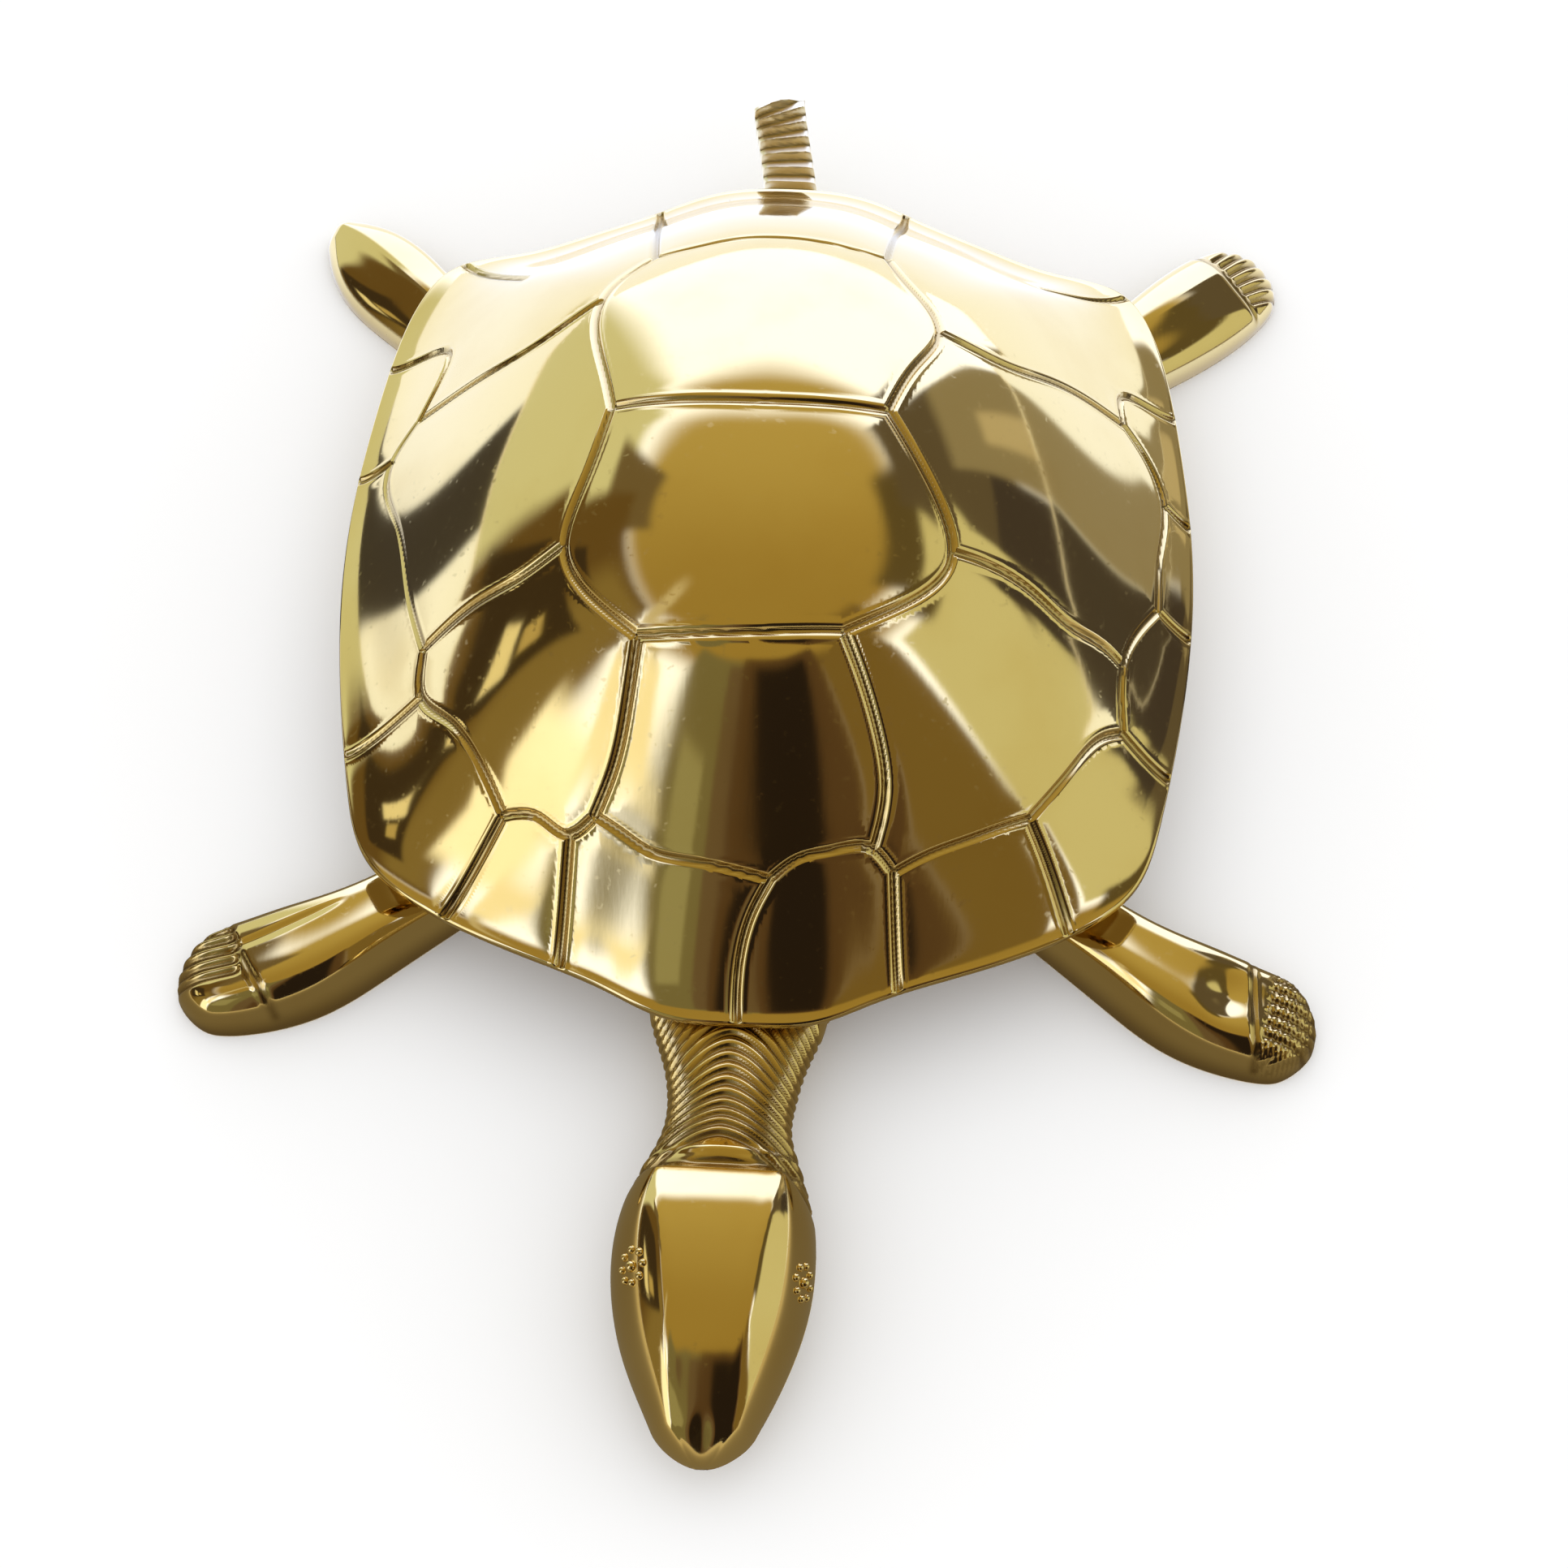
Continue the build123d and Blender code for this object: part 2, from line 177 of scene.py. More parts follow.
# scute lines, listed in the same shares: spine, ribs, then the runs to the rim
scuteLines = [
    [(-0.24, -0.45), (-0.025, -0.455), (0.19, -0.435)],
    [(-0.24, -0.45), (-0.255, -0.54), (-0.28, -0.63), (-0.32, -0.695)],
    [(0.19, -0.435), (0.225, -0.49), (0.27, -0.575), (0.29, -0.645), (0.27, -0.73)],
    [(-0.32, -0.695), (-0.26, -0.725), (-0.2, -0.755), (-0.1, -0.775), (0.055, -0.795)],
    [(0.055, -0.795), (0.11, -0.765), (0.18, -0.745), (0.27, -0.73), (0.315, -0.755)],
    [(-0.33, -0.01), (-0.03, -0.017), (0.265, -0.01)],
    [(-0.28, 0.42), (-0.165, 0.44), (-0.05, 0.455), (0.095, 0.453), (0.25, 0.44)],
    [(-0.33, -0.01), (-0.355, 0.075), (-0.385, 0.295), (-0.345, 0.36), (-0.28, 0.42)],
    [(0.265, -0.01), (0.32, 0.11), (0.37, 0.225), (0.3, 0.35), (0.25, 0.44)],
    [(-0.33, -0.01), (-0.375, -0.155), (-0.41, -0.27), (-0.24, -0.45)],
    [(0.265, -0.01), (0.345, -0.12), (0.41, -0.255), (0.19, -0.435)],
    [(-0.41, -0.27), (-0.51, -0.3), (-0.62, -0.308), (-0.74, -0.335)],
    [(0.41, -0.255), (0.6, -0.255), (0.68, -0.27), (0.78, -0.265), (0.815, -0.275)],
    [(0.37, 0.225), (0.435, 0.217), (0.53, 0.22), (0.64, 0.26), (0.73, 0.287), (0.83, 0.3)],
    [(0.83, 0.3), (0.88, 0.262), (0.93, 0.165), (0.915, 0.03), (0.905, -0.105)],
    [(0.905, -0.105), (0.815, -0.275), (0.815, -0.405)],
    [(0.815, -0.405), (0.775, -0.43), (0.69, -0.53), (0.6, -0.63)],
    [(0.6, -0.63), (0.54, -0.655), (0.47, -0.685), (0.385, -0.72), (0.315, -0.755)],
    [(-0.385, 0.295), (-0.445, 0.266), (-0.55, 0.232), (-0.68, 0.236), (-0.845, 0.25)],
    [(-0.845, 0.25), (-0.905, 0.18), (-0.853, -0.017), (-0.79, -0.215), (-0.74, -0.335)],
    [(-0.74, -0.335), (-0.735, -0.43), (-0.66, -0.5), (-0.61, -0.55), (-0.525, -0.67)],
    [(-0.525, -0.67), (-0.45, -0.68), (-0.375, -0.715), (-0.32, -0.695)],
    [(-0.28, 0.42), (-0.35, 1.03)], [(0.25, 0.44), (0.31, 1.03)],
    [(-0.62, 0.55), (-0.85, 0.78)], [(0.64, 0.64), (0.755, 0.675), (0.92, 0.76)],
    [(-0.845, 0.25), (-0.8, 0.42), (-1.02, 0.455)], [(0.83, 0.3), (0.825, 0.375), (1.03, 0.4)],
    [(-0.905, 0.18), (-1.05, 0.165)], [(0.93, 0.165), (1.05, 0.11)], [(0.905, -0.105), (1.05, -0.155)],
    [(-0.735, -0.43), (-1, -0.5)], [(0.815, -0.405), (1, -0.485)], [(-0.525, -0.67), (-0.7, -0.865)],
    [(0.6, -0.63), (0.625, -0.66), (0.73, -0.86)], [(-0.375, -0.715), (-0.4, -0.99)],
    [(0.315, -0.755), (0.345, -1)], [(0.055, -0.795), (0.02, -0.84), (0, -1.05)],
]


def shareToPlan(x, y):
    return x * shell["halfWidth"], y * np.where(y < 0, shell["frontReach"], shell["rearReach"])


rimX, rimY = shareToPlan(*np.array(rimShares).T)
halfTurns = np.arctan2(rimX, -rimY)
turns = np.concatenate([-halfTurns[:0:-1], halfTurns])
reaches = np.hypot(rimX, rimY)
reaches = np.concatenate([reaches[:0:-1], reaches])
turns = np.concatenate([turns[-6:-1] - math.tau, turns, turns[1:6] + math.tau])
reaches = np.concatenate([reaches[-6:-1], reaches, reaches[1:6]])


def rimAndOval(angle):
    rim = smoothLine(turns, reaches, angle)
    reach = np.where(np.cos(angle) > 0, shell["frontReach"], shell["rearReach"])
    return rim, 1 / np.hypot(np.sin(angle) / shell["halfWidth"], np.cos(angle) / reach)


def domePlan(share, angle):
    # rim-shaped at the edge and rounder towards the crown
    rim, oval = rimAndOval(angle)
    distance = share * (share**2 * rim + (1 - share**2) * oval)
    return distance * np.sin(angle), -distance * np.cos(angle)


def domeHeight(share, low, high):
    return low + (high - low) * (1 - np.minimum(share, 1) ** shell["fullness"]) ** shell["flare"]


def handWaves(x, y):
    # the slight unevenness that hand polishing leaves: wavelengths in mm and their phases
    slow = np.sin(x / 9 + y / 15 + 0.7) * np.sin(y / 11 - x / 18 + 0.2)
    quick = np.sin(x / 5.5 - y / 7.5 + 2.1) * np.sin(x / 8.5 + y / 4.8)
    return shell["waves"] * (slow + 0.35 * quick)


def domePoint(a, b):
    share, angle = np.hypot(a, b), np.arctan2(a, -b)
    x, y = domePlan(share, angle)
    z = domeHeight(share, shell["rim"], shell["crown"])
    z = z + (handWaves(x, y) - shell["waves"]) * (1 - share**4)
    return np.stack([x, y, z], -1)


def domeNormal(a, b):
    pull = np.minimum(1, 0.997 / np.maximum(np.hypot(a, b), 1e-9))
    a, b, step = a * pull, b * pull, 0.002
    sideways = domePoint(a + step, b) - domePoint(a - step, b)
    lengthwise = domePoint(a, b + step) - domePoint(a, b - step)
    return unit(np.cross(sideways, lengthwise))


def planToDisc(x, y):
    angle, distance = np.arctan2(x, -y), np.hypot(x, y)
    rim, oval = rimAndOval(angle)
    share = distance / rim
    for step in range(8):
        over = share * oval + share**3 * (rim - oval) - distance
        share = share - over / (oval + 3 * share**2 * (rim - oval))
    return share * np.sin(angle), -share * np.cos(angle)


def grooveSamples():
    # each line smoothed and laid on the dome, with the numbers of its neighbours
    points, before, after, strength = [], [], [], []
    for number, line in enumerate(scuteLines):
        x, y = shareToPlan(*np.array(line).T)
        along = np.concatenate([[0], np.cumsum(np.hypot(np.diff(x), np.diff(y)))])
        at = np.linspace(0, along[-1], max(3, int(along[-1] / shell["grooveSpacing"])))
        spots = domePoint(*planToDisc(smoothLine(along, x, at), smoothLine(along, y, at)))
        first = len(points)
        last = first + len(spots) - 1
        points += list(spots)
        before += [max(i - 1, first) for i in range(first, last + 1)]
        after += [min(i + 1, last) for i in range(first, last + 1)]
        strength += [shell["faintShare"] if number == shell["faintLine"] else 1] * len(spots)
    return np.array(points), np.array(before), np.array(after), np.array(strength)


groovePoints, grooveBefore, grooveAfter, grooveStrength = grooveSamples()
grooveTree = KDTree(len(groovePoints))
for number, spot in enumerate(groovePoints):
    grooveTree.insert(spot, number)
grooveTree.balance()


def awayFromGroove(points):
    nearest = np.array([grooveTree.find(p)[1] for p in points.tolist()])
    best, strength = None, grooveStrength[nearest]
    for other in (grooveBefore[nearest], grooveAfter[nearest]):
        start, run = groovePoints[nearest], groovePoints[other] - groovePoints[nearest]
        t = ((points - start) * run).sum(-1) / np.maximum((run * run).sum(-1), 1e-9)
        away = points - start - run * np.clip(t, 0, 1)[:, None]
        best = away if best is None else np.where(
            (np.linalg.norm(away, axis=1) < np.linalg.norm(best, axis=1))[:, None], away, best
        )
    return best, strength


def grooveProfile(d):
    # a round-bottomed cut, thin shoulders, and scutes that swell between the cuts
    cut = -shell["grooveDepth"] / (1 + (d / shell["grooveWidth"]) ** 4)
    lip = shell["shoulder"] * bump(d, shell["shoulderAt"], shell["shoulderWidth"])
    return cut + lip - shell["pillow"] * bump(d, 0, shell["pillowWidth"])


def squareToDisc(points):
    u, v = points[:, 0], points[:, 1]
    return u * np.sqrt(1 - v * v / 2), v * np.sqrt(1 - u * u / 2)


def subdivideNear(piece, distance):
    mesh = piece.data
    centres = np.empty(len(mesh.polygons) * 3)
    mesh.polygons.foreach_get("center", centres)
    away = awayFromGroove(domePoint(*squareToDisc(centres.reshape(-1, 3))))[0]
    near = np.linalg.norm(away, axis=1) < distance
    mesh.vertices.foreach_set("select", np.zeros(len(mesh.vertices), bool))
    mesh.edges.foreach_set("select", np.zeros(len(mesh.edges), bool))
    mesh.polygons.foreach_set("select", near)
    makeActive(piece)
    bpy.context.tool_settings.mesh_select_mode = (False, False, True)
    bpy.ops.object.mode_set(mode="EDIT")
    bpy.ops.mesh.subdivide(number_cuts=1)
    bpy.ops.object.mode_set(mode="OBJECT")


def extrudeRing(piece, place):
    # one more ring from the selected edge, placed by a rule of its angle
    makeActive(piece)
    bpy.ops.object.mode_set(mode="EDIT")
    bpy.ops.mesh.extrude_region_move(TRANSFORM_OT_translate={"value": (0, 0, -0.1 * mm)})
    bpy.ops.object.mode_set(mode="OBJECT")
    mesh = piece.data
    chosen = np.empty(len(mesh.vertices), bool)
    mesh.vertices.foreach_get("select", chosen)
    points = readPoints(mesh) / mm - (0, crownY, 0)
    points[chosen] = place(points[chosen])
    writePoints(mesh, points)


def edgeRing(inset, height):
    # a ring of the rim's own outline, moved inward and set at one height
    def place(points):
        angle = np.arctan2(points[:, 0], -points[:, 1])
        reach = smoothLine(turns, reaches, angle) - inset
        return np.stack([reach * np.sin(angle), -reach * np.cos(angle), np.full(len(angle), height)], -1)

    return place


def insideRing(share):
    # a ring of the hollow: the dome drawn in by the land and the wall
    thinX = 1 - shell["land"] / shell["halfWidth"]

    def place(points):
        reach = np.where(points[:, 1] < 0, shell["frontReach"], shell["rearReach"])
        thinY = 1 - shell["land"] / reach
        angle = np.arctan2(points[:, 0] / thinX, -points[:, 1] / thinY)
        x, y = domePlan(share, angle)
        z = domeHeight(np.full(len(x), share), shell["bandBottom"], shell["crown"] - shell["wall"])
        return np.stack([x * thinX, y * thinY, z], -1)

    return place


def makeShell():
    piece = gridPiece("turtleShell", shell["faces"], shell["faces"])
    subdivideNear(piece, shell["nearGroove"])
    subdivideNear(piece, shell["atGroove"])
    mesh = piece.data
    a, b = squareToDisc(readPoints(mesh))
    shrink = 1 - shell["edgeRound"] / shell["frontReach"]
    base, normal = domePoint(a * shrink, b * shrink), domeNormal(a * shrink, b * shrink)
    away, strength = awayFromGroove(base)
    d = np.linalg.norm(away, axis=1)
    step = 0.02
    rise = grooveProfile(d + step) - grooveProfile(np.maximum(d - step, 0))
    slope = rise / (step + np.minimum(d, step))
    sideways = unit(away)
    sideways = sideways - normal * (sideways * normal).sum(-1, keepdims=True)
    carved = unit(normal - sideways * (slope * strength)[:, None])
    writePoints(mesh, base + normal * (grooveProfile(d) * strength)[:, None])
    # painted shade darkens the grooves
    writeMask(mesh, "paintedShade", shell["grooveShade"] * strength / (1 + (d / shell["grooveWidth"]) ** 4))
    outerCount = len(mesh.vertices)
    makeActive(piece)
    bpy.context.tool_settings.mesh_select_mode = (False, True, False)
    bpy.ops.object.mode_set(mode="EDIT")
    bpy.ops.mesh.select_all(action="DESELECT")
    bpy.ops.mesh.select_non_manifold()
    bpy.ops.object.mode_set(mode="OBJECT")
    rim, low, soft, cut = shell["rim"], shell["bandBottom"], shell["edgeRound"], shell["rimSteps"]
    rings = [(cut, rim - cut), (0, rim - soft), (0, low + soft), (cut, low + cut), (soft, low)]
    for inset, height in rings:
        extrudeRing(piece, edgeRing(inset, height))
    for share in shell["insideRings"]:
        extrudeRing(piece, insideRing(share))
    bpy.ops.object.mode_set(mode="EDIT")
    bpy.ops.mesh.merge(type="CENTER")
    bpy.ops.mesh.select_all(action="SELECT")
    bpy.ops.mesh.normals_make_consistent(inside=False)
    bpy.ops.object.mode_set(mode="OBJECT")
    bpy.ops.object.shade_smooth()
    mask = np.zeros(len(mesh.vertices), np.float32)
    mesh.attributes["paintedShade"].data.foreach_get("value", mask)
    mask[outerCount:] = 0
    mesh.attributes["paintedShade"].data.foreach_set("value", mask)
    clean = np.zeros((len(mesh.vertices), 3))
    clean[:outerCount] = carved
    mesh.normals_split_custom_set_from_vertices(clean.tolist())
    print("shell:", len(mesh.polygons), "faces,", outerCount, "outer points")
    return piece


lugs = {
    "axisY": 70, "axisZ": 12, "radius": 3, "bore": 1.3, "inner": 6.0, "width": 4.0,
    "rearTop": 17.3, "frontTop": 22.1, "soften": 0.25, "shade": 0.3,
}


def makeLug(side):
    # a knuckle with a post up into the dome, bored for the pin
    middle = side * (lugs["inner"] + lugs["width"] / 2) * mm
    y, z = (lugs["axisY"] + crownY) * mm, lugs["axisZ"] * mm
    across = (0, math.pi / 2, 0)
    made = []
    for radius, width in ((lugs["radius"], lugs["width"]), (lugs["bore"], lugs["width"] * 2)):
        deselectAll()
        bpy.ops.mesh.primitive_cylinder_add(
            vertices=64, radius=radius * mm, depth=width * mm, location=(middle, y, z), rotation=across
        )
        bpy.ops.object.transform_apply(location=True, rotation=True, scale=True)
        made.append(bpy.context.object)
    knuckle, drill = made
    height = (lugs["rearTop"] - lugs["axisZ"]) * mm
    deselectAll()
    bpy.ops.mesh.primitive_cube_add(size=1, location=(middle, y, z + height / 2))
    post = bpy.context.object
    post.scale = (lugs["width"] * mm, lugs["radius"] * 2 * mm, height)
    bpy.ops.object.transform_apply(location=True, rotation=True, scale=True)
    # the front top edge rises with the dome, so that the post ends inside the shell's wall
    for corner in post.data.vertices:
        if corner.co.z > z + height / 2 and corner.co.y < y:
            corner.co.z = lugs["frontTop"] * mm
    makeActive(knuckle)
    for tool, kind in ((post, "UNION"), (drill, "DIFFERENCE")):
        cut = knuckle.modifiers.new("cut", "BOOLEAN")
        cut.object, cut.operation, cut.solver = tool, kind, "EXACT"
        bpy.ops.object.modifier_apply(modifier=cut.name)
        bpy.data.objects.remove(tool)
    edge = knuckle.modifiers.new("edge", "BEVEL")
    edge.width, edge.segments, edge.limit_method = lugs["soften"] * mm, 2, "ANGLE"
    bpy.ops.object.modifier_apply(modifier=edge.name)
    bpy.ops.object.shade_smooth_by_angle(angle=math.radians(35))
    # painted shade darkens the whole lug a little
    writeMask(knuckle.data, "paintedShade", np.full(len(knuckle.data.vertices), lugs["shade"]))
    return knuckle


turtleShell = makeShell()
joinInto(turtleShell, [makeLug(-1), makeLug(1)])
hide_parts("shell")
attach(turtleShell, "lid")
print("shell done")


# A limb: rings along a path, each ring a section
def capEnd(piece):
    # a flat face over the open end
    makeActive(piece)
    bpy.context.tool_settings.mesh_select_mode = (False, True, False)
    bpy.ops.object.mode_set(mode="EDIT")
    bpy.ops.mesh.select_all(action="DESELECT")
    bpy.ops.mesh.select_non_manifold()
    bpy.ops.mesh.edge_face_add()
    bpy.ops.mesh.select_all(action="SELECT")
    bpy.ops.mesh.normals_make_consistent(inside=False)
    bpy.ops.object.mode_set(mode="OBJECT")


def wrapGrid(name, across, along, place):
    piece = gridPiece(name, across, along)
    flat = readPoints(piece.data)
    points, paintedShade = place((flat[:, 0] + 1) / 2, (flat[:, 1] + 1) / 2)
    writePoints(piece.data, points)
    writeMask(piece.data, "paintedShade", paintedShade)
    closeUp(piece)
    capEnd(piece)
    return piece


# Legs. Stations are x, y, half width and height in mm. A section runs from the rear edge to the front edge
frontSection = [
    (-1, 0), (-0.99, 0.3), (-0.95, 0.62), (-0.76, 0.9), (-0.36, 0.975), (0.05, 0.995), (0.4, 1.0),
    (0.62, 0.93), (0.8, 0.75), (0.92, 0.5), (0.985, 0.24), (1, 0),
]
legs = {
    "frontRightLeg": {
        "node": "front_right_leg",
        "stations": [(-44.6, -49.5, 5.93, 8.08), (-55.1, -57.6, 6.7, 9.5), (-63.2, -62.3, 8.0, 9.2),
                     (-71.3, -65.2, 7.9, 8.0), (-77.6, -66.4, 6.6, 6.4), (-81.1, -66.9, 4.6, 4.8)],
        "tipRound": 0.86, "tipPower": 2.3,
        "section": frontSection,
        "crease": (-0.42, 0.1), "cuff": (0.735, -0.06), "toeDrop": 0.5,
        "claws": [-5.8, -4.1, -2.4, -0.7, 1.0], "clawFrom": 0.745, "clawTurn": 0.0,
        "clawDepth": 1.0, "clawWidth": 0.52, "rough": 0.0,
    },
    "frontLeftLeg": {
        "node": "front_left_leg",
        "stations": [(44.6, -49.5, 5.93, 8.08), (55.1, -57.6, 6.7, 9.5), (63.2, -62.3, 8.0, 9.2),
                     (71.3, -65.2, 8.0, 8.0), (77.4, -66.6, 6.8, 6.4), (80.9, -67.4, 4.8, 4.8)],
        "tipRound": 0.86, "tipPower": 2.3,
        "section": frontSection,
        "crease": (-0.42, 0.0), "cuff": (0.76, 0.05), "toeDrop": 0.4,
        "claws": [-5.6, -3.8, -2.0, -0.2, 1.6, 3.4], "clawFrom": 0.79, "clawTurn": 0.03,
        "clawDepth": 0.5, "clawWidth": 0.42, "rough": 0.16, "dish": (0.665, 0.075, -0.4, 4.0, 0.95),
    },
    "rearRightLeg": {
        "node": "rear_right_leg",
        "stations": [(-51.9, 50.05, 6.19, 7.65), (-61.2, 58.9, 7.4, 8.5), (-68.4, 66.2, 7.7, 8.0),
                     (-74.5, 72.4, 5.3, 6.4), (-78.6, 76.6, 1.9, 4.2)],
        "tipRound": 0.93, "tipPower": 2.0,
        "section": [(-1, 0), (-0.97, 0.25), (-0.8, 0.5), (-0.3, 0.82), (0.15, 1.0), (0.55, 0.94),
                    (0.85, 0.76), (0.97, 0.42), (1, 0)],
        "crease": (0, 0), "cuff": None, "claws": [], "clawFrom": 1, "rough": 0.0,
    },
    "rearLeftLeg": {
        "node": "rear_left_leg",
        "stations": [(51.9, 50.05, 6.19, 7.65), (61.2, 58.1, 7.9, 8.5), (70.0, 66.2, 8.6, 8.2),
                     (76.0, 71.9, 7.5, 6.8), (80.3, 75.9, 5.4, 5.0)],
        "tipRound": 0.84, "tipPower": 2.3,
        "section": [(-1, 0), (-0.99, 0.28), (-0.9, 0.5), (-0.3, 0.84), (0.2, 1.0), (0.62, 0.92),
                    (0.88, 0.7), (0.98, 0.4), (1, 0)],
        "crease": (0, 0), "cuff": (0.74, 0.0), "toeDrop": 0.45,
        "claws": [-5.0, -3.2, -1.4, 0.4, 2.2, 4.0], "clawFrom": 0.745, "clawTurn": 0.12,
        "clawDepth": 1.0, "clawWidth": 0.55, "rough": 0.0,
    },
}


# what every leg shares: t runs 0 to 1 from root to tip, c -1 to 1 across, depths in mm
legCut = {
    "across": 132, "along": 150, "topShare": 0.78, "rootShare": 0.02,
    "wallShade": 0.85, "wallTop": 0.6, "facetFrom": 0.25, "facetTo": 0.5,
    "creaseDepth": 0.35, "creaseWidth": 0.07, "creaseShare": (0.3, 0.5, 0.72, 0.82),
    "cuffDepth": 0.4, "cuffWidth": 0.012, "cuffShade": 0.7, "cuffShadeWidth": 0.014, "toeSlope": 0.03,
    "clawEase": 0.035, "clawLow": 0.05, "clawHigh": 0.25, "clawShade": 0.9, "gritShade": 0.35,
}


def makeLeg(name, leg):
    spots = np.array(leg["stations"], float)
    along = np.concatenate([[0], np.cumsum(np.hypot(*np.diff(spots[:, :2], axis=0).T))])
    along = along / along[-1]
    front = 1 if spots[0, 1] < 0 else -1
    corner = np.array(leg["section"], float)
    around = np.concatenate([[0], np.cumsum(np.hypot(*np.diff(corner, axis=0).T))])
    around = around / around[-1]

    def place(u, v):
        t = np.sin(v * math.pi / 2) ** 0.9 * 0.35 + v * 0.65
        path = [smoothLine(along, spots[:, i], t) for i in range(4)]
        step = 0.004
        headX = smoothLine(along, spots[:, 0], t + step) - smoothLine(along, spots[:, 0], t - step)
        headY = smoothLine(along, spots[:, 1], t + step) - smoothLine(along, spots[:, 1], t - step)
        length = np.hypot(headX, headY)
        headX, headY = headX / length, headY / length
        late = np.clip((t - leg["tipRound"]) / (1 - leg["tipRound"]), 0, 1)
        close = np.maximum(1 - late ** leg["tipPower"], 0) ** (1 / leg["tipPower"])
        # three quarters of the ring is the top, the rest the flat sole
        top = u < legCut["topShare"]
        s = np.clip(u / legCut["topShare"], 0, 1)
        c = smoothLine(around, corner[:, 0], s)
        h = smoothLine(around, corner[:, 1], s)
        back = np.clip((u - legCut["topShare"]) / (1 - legCut["topShare"]), 0, 1)
        c = np.where(top, c, 1 - 2 * back)
        h = np.where(top, np.maximum(h, 0), 0)
        lift = h * path[3] * close**0.8
        aside = c * path[2] * close
        paintedShade = np.zeros(len(u))
        carve = np.zeros(len(u))
        upper = ramp(h, legCut["facetFrom"], legCut["facetTo"])
        clawUp = ramp(h, legCut["clawLow"], legCut["clawHigh"])
        # painted shade: the walls grow darker towards the bottom
        paintedShade += legCut["wallShade"] * (1 - ramp(h, legCut["clawLow"], legCut["wallTop"])) * top
        if leg["crease"][1]:
            begin, full, wane, end = legCut["creaseShare"]
            fade = ramp(t, begin, full) * (1 - ramp(t, wane, end))
            creaseAt = leg["crease"][0] + leg["crease"][1] * (t - 0.5) * 4
            carve += legCut["creaseDepth"] * bump(c, creaseAt, legCut["creaseWidth"]) * fade
        if leg["cuff"]:
            cuffAt = leg["cuff"][0] + leg["cuff"][1] * c
            carve += legCut["cuffDepth"] * bump(t, cuffAt, legCut["cuffWidth"]) * upper
            # painted shade in the cuff's fold
            paintedShade += legCut["cuffShade"] * bump(t, cuffAt, legCut["cuffShadeWidth"]) * upper
            carve += leg["toeDrop"] * ramp(t, cuffAt, cuffAt + legCut["toeSlope"])
        if "dish" in leg:
            # a shallow hollow where the foot folds
            dishAt, dishLong, dishAside, dishWide, dishDeep = leg["dish"]
            carve += dishDeep * bump(t, dishAt, dishLong) * bump(aside, dishAside, dishWide)
        inToe = ramp(t, leg["clawFrom"], leg["clawFrom"] + legCut["clawEase"])
        for spot in leg["claws"]:
            # claws run side by side along the toe, in mm across it
            line = spot * (1 + leg["clawTurn"] * (t - leg["clawFrom"]) * 10)
            slit = bump(aside, line, leg["clawWidth"]) * inToe * clawUp
            carve += leg["clawDepth"] * slit
            # painted shade in each claw slit
            paintedShade += legCut["clawShade"] * slit
        if leg["rough"]:
            # two crossing waves stand for the worn stipple, with painted shade in its hollows
            grit = np.sin(t * 260 + aside * 1.7) * np.sin(aside * 3.9 - t * 90)
            carve += leg["rough"] * grit * inToe * upper
            paintedShade += legCut["gritShade"] * (grit > 0) * inToe * upper
        lift = np.maximum(lift - carve * np.minimum(1, lift / 2), 0)
        half = path[2] * close
        # across runs from the rear edge to the front edge of the body
        y = path[1] - front * np.abs(headX) * half * c
        x = path[0] + (headY if headX.mean() > 0 else -headY) * half * c * front
        return np.stack([x, y, lift], -1), paintedShade

    piece = wrapGrid(name, legCut["across"], legCut["along"], place)
    outward = (spots[1, 0] - spots[0, 0], spots[1, 1] - spots[0, 1], 0)
    cutAt = [spots[0, i] + outward[i] * legCut["rootShare"] for i in (0, 1)] + [0]
    joinInto(piece, [cutNode(leg["node"], cutAt, outward)])
    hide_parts(leg["node"])
    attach(piece, "base")
    return piece


legPieces = [makeLeg(name, leg) for name, leg in legs.items()]
print("legs done")


